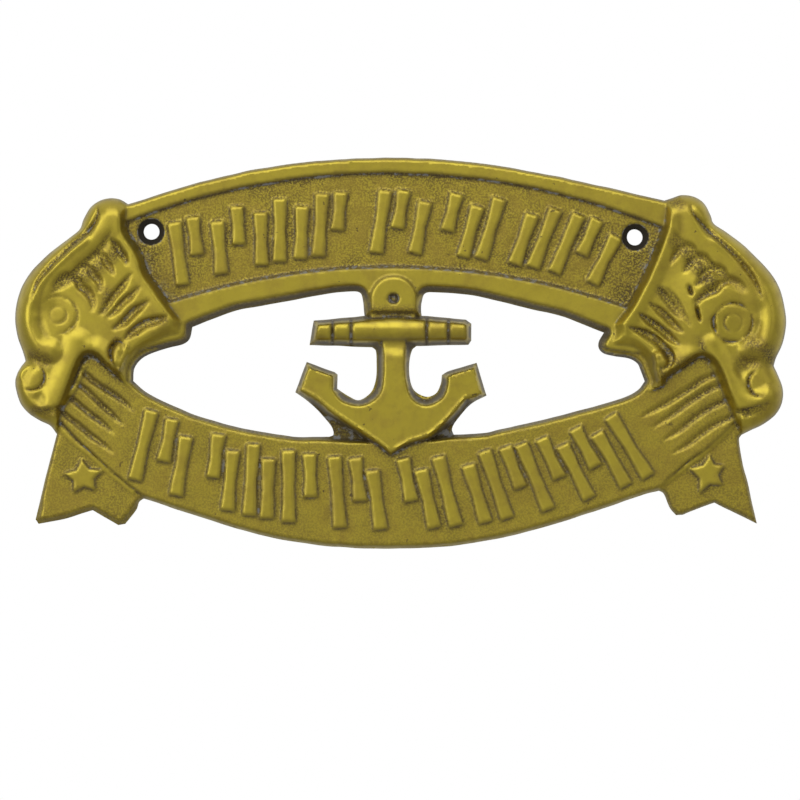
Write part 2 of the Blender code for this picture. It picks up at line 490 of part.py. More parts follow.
def head_height(head, x, z, loops):
    """A sea-beast's head: rounded edges, swellings, grooves, a recess with tongues, and a ringed eye."""
    within = inside(head_loop(head), x, z)
    edges = [(curve(head["brow"]), BROW_ROUND, FOOT),
             (curve(head["chin"]), CHIN_ROUND, BANNER_LEVEL - 0.3),
             (curve(head["collar"]), COLLAR_ROUND, ARCH_LEVEL - 0.3)]
    edges += [(closed(loop), JAW_ROUND, FOOT) for loop in loops[1:3]]
    height = np.full(x.shape, HEAD_LEVEL)
    for line, width, base in edges:
        height = np.minimum(height, rounded(near(line, x, z, REACH)[0], HEAD_LEVEL, width, base))
    lift = np.zeros(x.shape)
    for points, half, rise in head["mounds"]:
        lift = lift + rise * bell(near(curve(points), x, z, half)[0], half)
    fade = np.clip((height - FOOT) / (HEAD_LEVEL - FOOT), 0, 1) ** 2
    body = height + np.minimum(lift, MOUND_LIMIT) * fade
    points, half, depth = head["hollow"]
    body = body - depth * bell(near(curve(points), x, z, half)[0], half)
    cut = np.clip(depth_in(curve(head["recess"], closed=True), x, z, 2) / FEATURE_DRAFT, 0, 1)
    for tongue in head["tongues"]:
        beyond = -depth_in(curve(tongue, closed=True), x, z, 2)
        cut = np.minimum(cut, np.clip(beyond / FEATURE_DRAFT, 0, 1))
    body = body - RECESS_DEPTH * cut
    for points, half, depth in head["grooves"]:
        body = grooved(body, x, z, points, half, depth)
    radius = np.hypot(x - head["eye"][0] * UNIT, z - head["eye"][1] * UNIT)
    body = body - EYE_DEPTH * bell(radius - EYE_RADIUS, RING_HALF_WIDTH)
    body = body - EYE_DEPTH / 2 * bell(radius - PUPIL_RADIUS, RING_HALF_WIDTH)
    return np.where(within, body, -9)


def relief(plan, loops):
    """Height of the casting's front over the wall at each point of the plan."""
    x, z = plan[:, 0], plan[:, 1]
    ground = np.maximum(arch_height(x, z, loops), banner_height(x, z, loops))
    for loop in stroke_loops():
        ground = ground + STROKE_RISE * np.clip(depth_in(loop, x, z, 2) / FEATURE_DRAFT, 0, 1)
    height = np.maximum.reduce([ground, tail_height(x, z, loops), anchor_height(x, z, loops)])
    for head in (LEFT_HEAD, RIGHT_HEAD):
        height = np.maximum(height, head_height(head, x, z, loops))
    for hole in HOLES:
        reach = np.hypot(x - hole[0] * UNIT, z - hole[1] * UNIT)
        height = np.minimum(height, np.where(reach < SINK_RADIUS, ARCH_LEVEL - SINK_RADIUS + reach, 99))
    return np.maximum(height, FOOT)


def thinned(line, tolerance=LINE_TOLERANCE):
    """The line with the points that lie within the tolerance of its chords left out."""
    keep = np.zeros(len(line), bool)
    keep[[0, -1]] = True
    spans = [(0, len(line) - 1)]
    while spans:
        start, end = spans.pop()
        if end - start < 2:
            continue
        a, b = line[start], line[end]
        along = b - a
        length = max(float(np.linalg.norm(along)), 1e-9)
        rest = line[start + 1:end] - a
        off = np.abs(along[0] * rest[:, 1] - along[1] * rest[:, 0]) / length
        if length < 1e-6:
            off = np.linalg.norm(rest, axis=1)
        if off.max() > tolerance:
            middle = start + 1 + int(off.argmax())
            keep[middle] = True
            spans += [(start, middle), (middle, end)]
    return line[keep]


def moved_in(loop, distance):
    """A closed loop moved inwards by a distance, without the points that come too near it."""
    along = np.roll(loop, -1, 0) - np.roll(loop, 1, 0)
    area = np.sum(loop[:, 0] * np.roll(loop[:, 1], -1) - loop[:, 1] * np.roll(loop[:, 0], -1)) / 2
    left = np.column_stack([-along[:, 1], along[:, 0]]) / np.linalg.norm(along, axis=1)[:, None]
    moved = loop + left * distance * math.copysign(1, area)
    gap, _ = near(closed(loop), moved[:, 0], moved[:, 1], abs(distance) * 2)
    return moved[gap > abs(distance) * 0.97]


def beside(line, distance):
    """An open line moved to its left by a distance that shrinks to nothing at both ends."""
    along = np.gradient(line, axis=0)
    left = np.column_stack([-along[:, 1], along[:, 0]]) / np.linalg.norm(along, axis=1)[:, None]
    share = np.linspace(0, 1, len(line))
    taper = np.sqrt(np.clip(np.minimum(share, 1 - share) / GROOVE_TAPER, 0, 1))
    return (line + left * distance * taper[:, None])[1:-1]


def stretches(line, keep):
    """The runs of a line whose points are kept."""
    runs, run = [], []
    for point, kept in zip(line, keep):
        if kept:
            run.append(point)
        elif run:
            runs.append(run)
            run = []
    return [np.array(run) for run in runs + [run] if len(run) > 2]


def clear_of_heads(line):
    """Which points of a line lie outside both heads."""
    free = np.ones(len(line), bool)
    for head in (LEFT_HEAD, RIGHT_HEAD):
        free &= ~inside(head_loop(head), line[:, 0], line[:, 1])
    return free


def clear_of_anchor(line):
    """Which points of a line lie outside the anchor and its neck."""
    free = np.ones(len(line), bool)
    for points in (ANCHOR_FACE, STOCK, NECK):
        free &= depth_in(curve(points, closed=True), line[:, 0], line[:, 1]) < -ANCHOR_DRAFT
    return free


def arc_line(arc, drop, reach):
    """Points along an arc, moved in by a drop."""
    crown, radius, lean = (value * UNIT for value in arc)
    x = np.linspace(-reach, reach, 200)
    rise = math.copysign(1, radius) * np.sqrt((radius - drop) ** 2 - (x - lean) ** 2)
    return np.column_stack([x, crown - radius + rise])


def crease_rings():
    """The closed edges of the forms, which the triangles follow."""
    rings = [curve(ANCHOR_FACE, closed=True), moved_in(curve(STOCK, closed=True), STOCK_DRAFT)]
    rings += [star_loop(tips) for tips in (STAR_LEFT, STAR_RIGHT)]
    rings += stroke_loops() + stroke_loops(FEATURE_DRAFT)
    rings += [circle(hole, SINK_RADIUS, HOLE_SIDES) for hole in HOLES]
    rings += [circle(DIMPLE, DIMPLE_RADIUS, 12), circle(DIMPLE, DIMPLE_RADIUS / 2, 8)]
    for head in (LEFT_HEAD, RIGHT_HEAD):
        forms = [curve(head["recess"], closed=True)]
        rings += [forms[0], moved_in(forms[0], FEATURE_DRAFT)]
        for tongue in head["tongues"]:
            rings += [curve(tongue, closed=True), moved_in(curve(tongue, closed=True), -FEATURE_DRAFT)]
        rings += [circle(head["eye"], EYE_RADIUS + side * RING_HALF_WIDTH, 18) for side in (-1, 0, 1)]
        rings.append(circle(head["eye"], PUPIL_RADIUS, 10))
    return rings


def crease_runs(loops):
    """The open edges of the forms, which the triangles follow."""
    runs = []
    for arc, drop in ((FIELD_TOP, 0), (FIELD_TOP, FEATURE_DRAFT), (FIELD_BOTTOM, 0),
                      (FIELD_BOTTOM, -FEATURE_DRAFT)):
        line = arc_line(arc, drop, 80 * UNIT)
        runs += stretches(line, clear_of_heads(line))
    for loop, distance, upper in ((loops[0], TOP_DRAFT, True), (loops[0], BANNER_DRAFT, False),
                                  (loops[1], -ARCH_DRAFT, True), (loops[1], -BANNER_DRAFT, False),
                                  (loops[2], -ARCH_DRAFT, True), (loops[2], -BANNER_DRAFT, False)):
        line = moved_in(loop, distance)
        keep = clear_of_heads(line) & clear_of_anchor(line) & ((line[:, 1] > 0) == upper)
        runs += stretches(line, keep)
    for head in (LEFT_HEAD, RIGHT_HEAD):
        runs += [curve(head["chin"]), curve(head["collar"])]
        for points, half, _ in head["grooves"]:
            runs += groove_lines(points, half)
    for flute in FLUTES:
        runs += groove_lines(flute, FLUTE_HALF_WIDTH)
    for points in (BANNER_END_LEFT, BANNER_END_RIGHT):
        ring = curve(points, closed=True)
        for line in (ring, moved_in(ring, BANNER_DRAFT)):
            keep = clear_of_heads(line) & (line[:, 1] < -18 * UNIT) & (np.abs(line[:, 0]) > 76 * UNIT)
            runs += stretches(line, keep)
    turn = np.linspace(0, math.pi, 16)
    crown = np.column_stack([np.cos(turn), np.sin(turn)]) * LUG_RADIUS + np.array(DIMPLE) * UNIT
    foot = np.array([0, LUG_FLAT * UNIT - crown[0, 1]])
    runs.append(np.vstack([crown[:1] + foot, crown, crown[-1:] + foot]))
    return runs


def groove_lines(points, half):
    """A groove's bottom and both its edges."""
    middle = curve(points, 1.2)
    return [middle, beside(middle, half), beside(middle, -half)]


def crease_lines(loops):
    """All edges of the forms, each with whether it is closed."""
    rings = [(thinned(closed(ring))[:-1], True) for ring in crease_rings()]
    return rings + [(thinned(run), False) for run in crease_runs(loops)]


def triangulated(lines, spots, loops):
    """Triangles over the casting's plan that keep to the lines and use the spots."""
    points, edges = [], []
    for line, is_closed in lines:
        first, count = len(points), len(line)
        points += [Vector(point) for point in line]
        edges += [(first + i, first + i + 1) for i in range(count - 1)]
        if is_closed:
            edges.append((first + count - 1, first))
    points += [Vector(spot) for spot in spots]
    found = delaunay_2d_cdt(points, edges, [], 0, 0.02, False)
    plan = np.array([tuple(point) for point in found[0]])
    faces = np.array(found[2])
    middle = plan[faces].mean(axis=1)
    return plan, faces[covered(middle, loops)]


def covered(plan, loops):
    """Which points lie on the casting."""
    x, z = plan[:, 0], plan[:, 1]
    hit = inside(loops[0], x, z)
    for loop in loops[1:]:
        hit &= ~inside(loop, x, z)
    return hit


def flat_faces(plan, faces, heights, cells):
    """The triangles' own height at each cell of a raster."""
    columns, rows = cells
    x0, z0 = columns[0], rows[0]
    guess = np.full((len(rows), len(columns)), np.nan)
    for face in faces:
        (ax, az), (bx, bz), (cx, cz) = plan[face]
        low_i, high_i = int((min(ax, bx, cx) - x0) / RASTER), int((max(ax, bx, cx) - x0) / RASTER) + 2
        low_j, high_j = int((min(az, bz, cz) - z0) / RASTER), int((max(az, bz, cz) - z0) / RASTER) + 2
        x, z = columns[None, low_i:high_i], rows[low_j:high_j, None]
        area = (bx - ax) * (cz - az) - (cx - ax) * (bz - az)
        if abs(area) < 1e-9 or not x.size or not z.size:
            continue
        v = ((x - ax) * (cz - az) - (cx - ax) * (z - az)) / area
        w = ((bx - ax) * (z - az) - (x - ax) * (bz - az)) / area
        hit = (v >= 0) & (w >= 0) & (v + w <= 1)
        height = heights[face[0]] * (1 - v - w) + heights[face[1]] * v + heights[face[2]] * w
        guess[low_j:high_j, low_i:high_i][hit] = height[hit]
    return guess


def refined(lines, loops):
    """Adds points where flat triangles stray from the relief, the worst first."""
    low, high = loops[0].min(axis=0), loops[0].max(axis=0)
    columns, rows = np.arange(low[0], high[0], RASTER), np.arange(low[1], high[1], RASTER)
    raster = np.column_stack([grid.ravel() for grid in np.meshgrid(columns, rows)])
    true = relief(raster, loops)
    spots = []
    for _ in range(ROUNDS):
        plan, faces = triangulated(lines, spots, loops)
        guess = flat_faces(plan, faces, relief(plan, loops), (columns, rows)).ravel()
        stray = np.nan_to_num(np.abs(guess - true))
        taken = {}
        for point in plan:
            taken.setdefault(tuple((point / SPOT_GAP).astype(int)), []).append(point)
        added = 0
        for i in np.argsort(-stray):
            if stray[i] < SURFACE_TOLERANCE or added >= SPOTS_EACH_ROUND:
                break
            if is_free(raster[i], taken):
                spots.append(raster[i])
                taken.setdefault(tuple((raster[i] / SPOT_GAP).astype(int)), []).append(raster[i])
                added += 1
    return triangulated(lines, spots, loops)


def is_free(point, taken):
    """Whether no point that is already used lies within the gap."""
    i, j = (point / SPOT_GAP).astype(int)
    cells = [(i + di, j + dj) for di in (-1, 0, 1) for dj in (-1, 0, 1)]
    around = [other for cell in cells for other in taken.get(cell, [])]
    return all(np.hypot(*(point - other)) > SPOT_GAP * 0.8 for other in around)


def cast(plan, faces, heights, loops):
    """Vertices and faces of the closed casting: relief in front, walls, and a flat back."""
    a, b, c = plan[faces].transpose(1, 0, 2)
    turns = (b[:, 0] - a[:, 0]) * (c[:, 1] - a[:, 1]) - (c[:, 0] - a[:, 0]) * (b[:, 1] - a[:, 1])
    faces = [tuple(face) if turn > 0 else tuple(face[::-1]) for face, turn in zip(faces.tolist(), turns)]
    sides = {(face[i], face[(i + 1) % 3]) for face in faces for i in range(3)}
    rim = [side for side in sides if side[::-1] not in sides]
    corners = sorted({corner for side in rim for corner in side})
    behind = {corner: len(plan) + i for i, corner in enumerate(corners)}
    front = [(x, -height, z) for (x, z), height in zip(plan.tolist(), heights)]
    back = [(plan[corner][0], 0.0, plan[corner][1]) for corner in corners]
    walls = [(b, a, behind[a], behind[b]) for a, b in rim]
    local = {corner: i for i, corner in enumerate(corners)}
    found = delaunay_2d_cdt([Vector(plan[corner]) for corner in corners],
                            [(local[a], local[b]) for a, b in rim], [], 0, 1e-5, True)
    lid = np.array([[corners[found[3][i][0]] for i in face] for face in found[2]])
    lid = lid[covered(plan[lid].mean(axis=1), loops)]
    lids = [tuple(behind[corner] for corner in face[::-1]) for face in lid.tolist()]
    return front + back, faces + walls + lids


def main():
    for thing in list(bpy.data.objects):
        bpy.data.objects.remove(thing)
    full = outline()
    loops = [thinned(closed(loop))[:-1] for loop in full[:3]] + full[3:]
    lines = [(loop, True) for loop in loops] + crease_lines(full)
    plan, faces = refined(lines, loops)
    used = np.unique(faces)
    place = {old: new for new, old in enumerate(used.tolist())}
    plan, faces = plan[used], np.array([[place[i] for i in face] for face in faces.tolist()])
    vertices, polygons = cast(plan, faces, relief(plan, loops), loops)
    mesh = bpy.data.meshes.new("sign_plaque")
    mesh.from_pydata([tuple(value * MM for value in vertex) for vertex in vertices], [], polygons)
    mesh.validate()
    mesh.shade_smooth()
    mesh.set_sharp_from_angle(angle=math.radians(35))
    brass = bpy.data.materials.new("brass")
    brass.use_nodes = True
    shader = brass.node_tree.nodes["Principled BSDF"]
    shader.inputs["Base Color"].default_value = (0.40, 0.31, 0.07, 1)
    shader.inputs["Metallic"].default_value = 1.0
    shader.inputs["Roughness"].default_value = 0.38
    mesh.materials.append(brass)
    bpy.context.collection.objects.link(bpy.data.objects.new("sign_plaque", mesh))


main()
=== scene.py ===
"""Looks of the cast brass wall sign: the casting, its metal and patina, the floor, light and camera.

The casting is one height field. relief() gives the height of its front over the wall at any point. It
is worked out on a fine raster, softened as sand casting and polishing soften it, given the grain of its
sunk ground, and lifted from a plan whose triangles are small where the form bends. Sizes are in
millimetres and the mesh is made in metres. The front faces -Y and the flat back lies at y = 0.
"""

import math

import bpy
import numpy as np
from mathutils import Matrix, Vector
from mathutils.geometry import delaunay_2d_cdt

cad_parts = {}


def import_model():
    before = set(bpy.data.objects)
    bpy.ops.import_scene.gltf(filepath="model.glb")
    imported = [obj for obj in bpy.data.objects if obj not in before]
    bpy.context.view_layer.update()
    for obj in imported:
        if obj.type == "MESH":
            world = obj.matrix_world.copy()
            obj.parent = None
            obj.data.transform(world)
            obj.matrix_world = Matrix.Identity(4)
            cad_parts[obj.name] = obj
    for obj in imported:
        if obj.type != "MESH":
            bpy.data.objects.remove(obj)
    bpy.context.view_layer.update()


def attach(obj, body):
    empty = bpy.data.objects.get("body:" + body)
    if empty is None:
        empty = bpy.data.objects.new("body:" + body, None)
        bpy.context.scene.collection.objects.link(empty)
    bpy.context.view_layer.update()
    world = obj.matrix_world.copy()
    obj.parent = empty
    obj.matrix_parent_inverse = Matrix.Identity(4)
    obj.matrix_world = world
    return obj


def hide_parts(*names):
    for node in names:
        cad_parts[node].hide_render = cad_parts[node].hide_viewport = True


MM = 0.001
SIGN_WIDTH = 230.7
DRAWN_WIDTH = 230.7
UNIT = SIGN_WIDTH / DRAWN_WIDTH
CORNER = True

# Heights over the wall
FOOT = 1.5
TAIL_LEVEL = 4.2
ARCH_LEVEL = 4.8
BANNER_LEVEL = 5.4
WEB_LEVEL = 2.4
NECK_LEVEL = 6.2
LUG_LEVEL = 7.4
ANCHOR_LEVEL = 8.0
STOCK_EDGE_LEVEL = 7.4
HEAD_LEVEL = 8.6

# Relief that stands on those levels or is cut into them
RIM_RISE = 1.4
STROKE_RISE = 1.1
STAR_RISE = 1.1
STOCK_CROWN = 2.0
BAND_DEPTH = 1.1
DIMPLE_DEPTH = 2.6
MOUND_LIMIT = 4.6

# The round end of a snout's curl, and the dip in the shank under the stock
PEARL_LEVEL = 7.6
PEARL_RADIUS = 3.1
DIP_DEPTH = 0.6
DIP_PLACE = 2.2
DIP_REACH = 3.6

# Width of the drafted walls, seen from the front
TOP_DRAFT = 0.6
ARCH_DRAFT = 2.1
BANNER_DRAFT = 1.1
TAIL_DRAFT = 0.8
TAIL_PLACES, TAIL_DRAFTS = (-47.0, -43.0), (1.5, 0.6)
ANCHOR_DRAFT = 2.0
STOCK_DRAFT = 1.6
FEATURE_DRAFT = 0.6

# Screw holes, countersunk, and the blind dimple in the anchor's lug
HOLE_RADIUS = 2.4
SINK_RADIUS = 4.2
DIMPLE_RADIUS = 1.6
LUG_RADIUS = 6.9
HOLE_SIDES = 48
HOLES = [(-74.6, 36.1), (70.2, 34.5)]
DIMPLE = (-2.1, 16.1)
LUG_FLAT = 12.5
LUG_SLOPE = 1.6
LUG_EDGE = 0.6
DIMPLE_DRAFT = 0.5

# Arcs that bound the sunk fields: crown height, radius and sideways lean
FIELD_TOP = (54.0, 217.0, -4.0)
FIELD_BOTTOM = (25.3, 212.0, -3.0)
BANNER_TOP = (-26.0, -216.0, -7.0)
ARCH_REACH = 84.0

# Rows of raised bars: places along each row, and the count of bars at each
STROKE_WIDTH = 3.9
STROKE_FLARE = 1.25
STROKE_PITCH = 5.9
STROKE_LENGTHS = (1.0, 0.62, 0.84)
STROKE_SHIFTS = (0.0, 0.19, -0.08)
TOP_ROW = dict(
    arc=(39.0, 216.0, -3.0),
    length=19.5,
    lean=9.0,
    places=[-60.5, -42, -24, 0, 21, 40, 55.5],
    counts=[3, 3, 3, 3, 3, 2, 3],
)
BOTTOM_ROW = dict(
    arc=(-42.4, -190.0, -4.0),
    length=22.0,
    lean=-9.0,
    places=[-71, -50.5, -33.5, -13, 8, 28.5, 46, 62.5],
    counts=[3] * 8,
)

# The outline, anticlockwise from the top right
ARCH_TOP = [
    (79, 45.5, CORNER), (60, 49.8), (40, 54.0), (20, 57.1), (0, 58.3), (-20, 57.7), (-40, 55.4),
    (-60, 51.0), (-81.5, 44.4, CORNER),
]
LEFT_BROW = [
    (-81.5, 44.4), (-84, 45.8), (-87, 46.2), (-90, 45.5), (-92.9, 43.4), (-94.9, 40), (-96.0, 37.0),
    (-99, 34.4), (-105, 29.7), (-110, 25), (-113.3, 20), (-115.1, 14.5), (-115.4, 9.5), (-114.6, 4.8),
    (-113.1, 0.2), (-112.3, -2.6, CORNER), (-113.8, -4.6), (-115.3, -8), (-115.2, -11), (-114.0, -15),
    (-111.4, -18.2), (-108, -20.4), (-105, -21.9), (-103.0, -24.5, CORNER),
]
LEFT_TAIL = [
    (-103.0, -24.5), (-109.3, -50.0, CORNER), (-108.4, -51.3, CORNER), (-101, -49.9),
    (-92.2, -47.3, CORNER), (-84.6, -51.7, CORNER), (-82.5, -51.3, CORNER), (-79.3, -47.2),
    (-78.4, -44.8), (-77.0, -43.8, CORNER),
]
BANNER_EDGE = [
    (-77.0, -43.8), (-75, -44.4), (-60, -49.3), (-40, -55.2), (-20, -58.2), (0, -58.8), (20, -57.4),
    (40, -53.2), (60, -47.0), (72, -42.8), (77.5, -41.4, CORNER),
]
RIGHT_TAIL = [
    (77.5, -41.4), (79, -42.4), (81.0, -46.8), (82.6, -48.8, CORNER), (84.6, -48.7, CORNER),
    (88.6, -46.9), (94, -45.1, CORNER), (106.8, -51.3, CORNER), (104.2, -40), (102.4, -33),
    (101.4, -26), (102.2, -24.6, CORNER),
]
RIGHT_BROW = [
    (102.2, -24.6), (104.8, -23.4), (108.5, -21.6), (112.2, -18.8), (114.3, -15), (114.6, -11),
    (113.2, -7), (111.8, -4.0, CORNER), (112.4, -1.8), (114.2, 2), (115.3, 7), (115.2, 12.5),
    (113.4, 19.4), (109.6, 25.2), (103.6, 31.3), (97.3, 36.2), (93.8, 38.7), (92.9, 41), (91, 44.5),
    (88, 46.6), (84.5, 47.1), (81.4, 46.2), (79, 45.5, CORNER),
]
LEFT_OPENING = [
    (-11.2, 15.5), (-10.9, 12.5), (-10.7, 10.9, CORNER), (-15, 10.5), (-26, 9.5, CORNER),
    (-27.3, 2.2, CORNER), (-8.6, 1.6, CORNER), (-7.4, 0.4), (-7.1, -5), (-7.6, -9), (-9.1, -12.3),
    (-12.5, -14.3), (-15.6, -13.1), (-19, -10.8, CORNER), (-18.9, -6.6, CORNER), (-19.8, -5.8, CORNER),
    (-28.1, -2.9, CORNER), (-31.6, -12, CORNER), (-27.4, -14.9), (-22.5, -19.8), (-20.5, -22.6),
    (-20.1, -24.7), (-21.4, -25.3, CORNER), (-32, -25.2), (-40, -24.0), (-50, -22.1), (-60, -19.3),
    (-70, -15.1), (-76, -12), (-80.1, -8.6, CORNER), (-79.9, -5), (-78, -2.3), (-75, -0.5), (-70, 1.3),
    (-65.3, 2.5), (-63.2, 4.2), (-62.5, 7.6, CORNER), (-50, 12.3), (-40, 14.3), (-30, 16.1),
    (-20, 17.8), (-14, 18.2), (-11.9, 17.6),
]
RIGHT_OPENING = [
    (6.3, 15), (6.1, 12.5), (6.2, 10.9, CORNER), (10, 10.7), (19.6, 9.8, CORNER), (21.2, 8.6, CORNER),
    (21.2, 3.6, CORNER), (20.3, 2.3, CORNER), (10, 2.1), (4.7, 1.9, CORNER), (3.4, 0.6), (2.7, -3),
    (2.8, -8), (4.3, -11.5), (7.8, -13.2), (10.6, -12.3), (12, -9.5), (12.4, -6.8, CORNER),
    (14.5, -5.6), (22.8, -3.1, CORNER), (25.8, -12.9, CORNER), (21, -15.7), (17, -20), (15.5, -22.9),
    (16.0, -24.7, CORNER), (25, -24.2), (30, -23.0), (40, -20.8), (50, -18.4), (60, -15.6), (68, -13.1),
    (71.4, -11.2), (73.2, -8.6, CORNER), (71.9, -5.2), (71, -3.4), (68.5, -1.8), (64, -1.1),
    (60.9, -0.3), (59.4, 1.4), (59.5, 3.4), (61.0, 5.9, CORNER), (50, 10.3), (40, 12.8), (30, 15.3),
    (20, 17.3), (10, 18.1), (7.2, 17.6),
]

# Forms that lie behind or across the outline
BANNER_END_LEFT = [
    (-56, -60, CORNER), (-74.2, -44.6, CORNER), (-77, -43.8), (-83, -39.4), (-90, -33.4), (-97, -26.8),
    (-103.6, -20, CORNER), (-103.8, -12, CORNER), (-92, 2, CORNER), (-56, 2, CORNER),
]
BANNER_END_RIGHT = [
    (50, -60, CORNER), (70, -44.6, CORNER), (77.5, -41.2), (81, -38.2), (86, -33.8), (92, -29.4),
    (97, -25), (101.8, -20, CORNER), (102, -12, CORNER), (90, 2, CORNER), (50, 2, CORNER),
]
ANCHOR_FACE = [
    (-5.1, 4, CORNER), (-4.8, -3), (-5.2, -10), (-7, -13.6), (-10, -15.6), (-13.6, -16), (-17.6, -14.6),
    (-20, -11.6), (-20.4, -8.6), (-20.2, -6.2, CORNER), (-28.1, -3.3, CORNER), (-31, -10.8, CORNER),
    (-25.6, -13.8), (-20, -18.2), (-11, -24), (-6, -27.4), (-3, -30, CORNER), (2, -27.1), (8, -25),
    (12, -22), (15.2, -18.6), (18, -15.4), (19.6, -13.8, CORNER), (25.4, -12.4, CORNER),
    (22.6, -3.5, CORNER), (14.2, -6.2, CORNER), (14.1, -10), (12.8, -13.4), (10, -15.4), (7.2, -15.9),
    (4.2, -14.8), (2.2, -12), (1.3, -8), (1.1, -3), (1.2, 4, CORNER),
]
STOCK = [
    (-27.3, 2.2, CORNER), (-26.1, 9.6, CORNER), (-15, 10.5), (-8, 11.1), (-2, 11.7), (5, 11.1),
    (12, 10.6), (19.7, 9.9, CORNER), (21.3, 8.6, CORNER), (21.3, 3.5, CORNER), (20.2, 2.2, CORNER),
    (8, 2.0), (-2, 1.7), (-14, 1.9),
]
STOCK_MIDDLE = 6.9
STOCK_HALF_HEIGHT = 3.6
STOCK_BANDS = (-20.4, -14.7, 7.8, 14.3)
BAND_HALF_WIDTH = 0.8
NECK = [
    (-12.4, 21, CORNER), (-11.2, 15.5), (-10.7, 9, CORNER), (6.2, 9, CORNER), (6.3, 15.4),
    (7.2, 21, CORNER),
]
STAR_LEFT = [(-95.6, -31.4), (-88.6, -35.2), (-90.9, -41.6), (-98, -42.4), (-101.2, -36.2)]
STAR_RIGHT = [(92.5, -30), (97.3, -33.6), (96.6, -40), (89.2, -42.8), (86, -34.7)]
STAR_WAIST = 0.68


def bow(centre, radius, start, end):
    """Points on an arc from one angle to another, in degrees anticlockwise from the right."""
    turns = np.radians(np.linspace(start, end, max(4, round(abs(end - start) / 24) + 1)))
    return [(centre[0] + radius * math.cos(turn), centre[1] + radius * math.sin(turn)) for turn in turns]


# Cuts: steep along the line, rising again to its right (points, width, depth)
FLUTES = [
    ([(-79.8, -17.8), (-83, -15), (-86, -13), (-89.5, -11), (-92.5, -8.8), (-95.2, -6.2),
      (-99, -2.6)], 2.0, 1.0),
    ([(-82.4, -22), (-85, -20.2), (-88, -17.5), (-91, -15), (-94, -12), (-96.8, -9.8),
      (-101, -6)], 2.0, 1.0),
    ([(-85.6, -24.4), (-89, -21.8), (-93, -19), (-96, -16.5), (-98.6, -14.2), (-103, -10)], 2.0, 1.0),
    ([(-85.6, -30.5), (-88, -28.6), (-92, -26), (-96, -22.6), (-99.5, -20), (-101.8, -17.6),
      (-105, -14)], 2.0, 1.0),
    ([(99, -4.2), (94.2, -6.8), (90, -9), (85, -12.5), (80, -15.5), (75, -18),
      (71.6, -19.4)], 2.0, 0.8),
    ([(101, -7.4), (95.2, -10.4), (90, -13), (85, -16.5), (80, -20), (75.2, -22.5)], 2.0, 0.8),
    ([(102, -12.6), (96.6, -15.2), (92, -17.5), (88, -20.3), (83, -24), (78.2, -26.4)], 2.0, 0.8),
    ([(104, -17.4), (99.2, -19.6), (94, -22.3), (90, -25), (86, -28), (81.2, -30.2)], 2.0, 0.8),
]

# Narrow lips along the foot of a head's wall (points, half width, rise)
LIPS = [
    ([(-94.8, -4.4), (-96.7, -9), (-98.6, -12.6), (-100.5, -15.2)], 0.8, 0.8),
    ([(93, -3.4), (95.7, -8.4), (97.6, -13), (99.5, -17), (100.7, -20.8)], 0.8, 0.8),
    ([(-81.8, 1.8), (-82.3, -0.8), (-83.2, -3), (-84.2, -5.6)], 0.75, 0.9),
    ([(75.9, -0.4), (76.5, -3.4), (76.9, -6), (77.6, -8.6)], 0.85, 1.0),
    ([(-102.4, -22.4), (-97.6, -27), (-92, -31.6), (-86.6, -36.4), (-80, -41.8)], 0.8, 0.4),
    ([(99.6, -21.8), (93, -28.2), (85.4, -34.4), (77.6, -40.4)], 0.8, 0.35),
    ([(-30.4, -10.6), (-25.4, -13.2), (-19.8, -17.6), (-11, -23.4), (-6, -26.8),
      (-3.4, -29)], 0.5, 0.3),
    ([(-1.6, -28.6), (2, -26.6), (8, -24.4), (12, -21.4), (15, -18), (17.8, -14.9),
      (19.6, -13.2)], 0.5, 0.3),
]

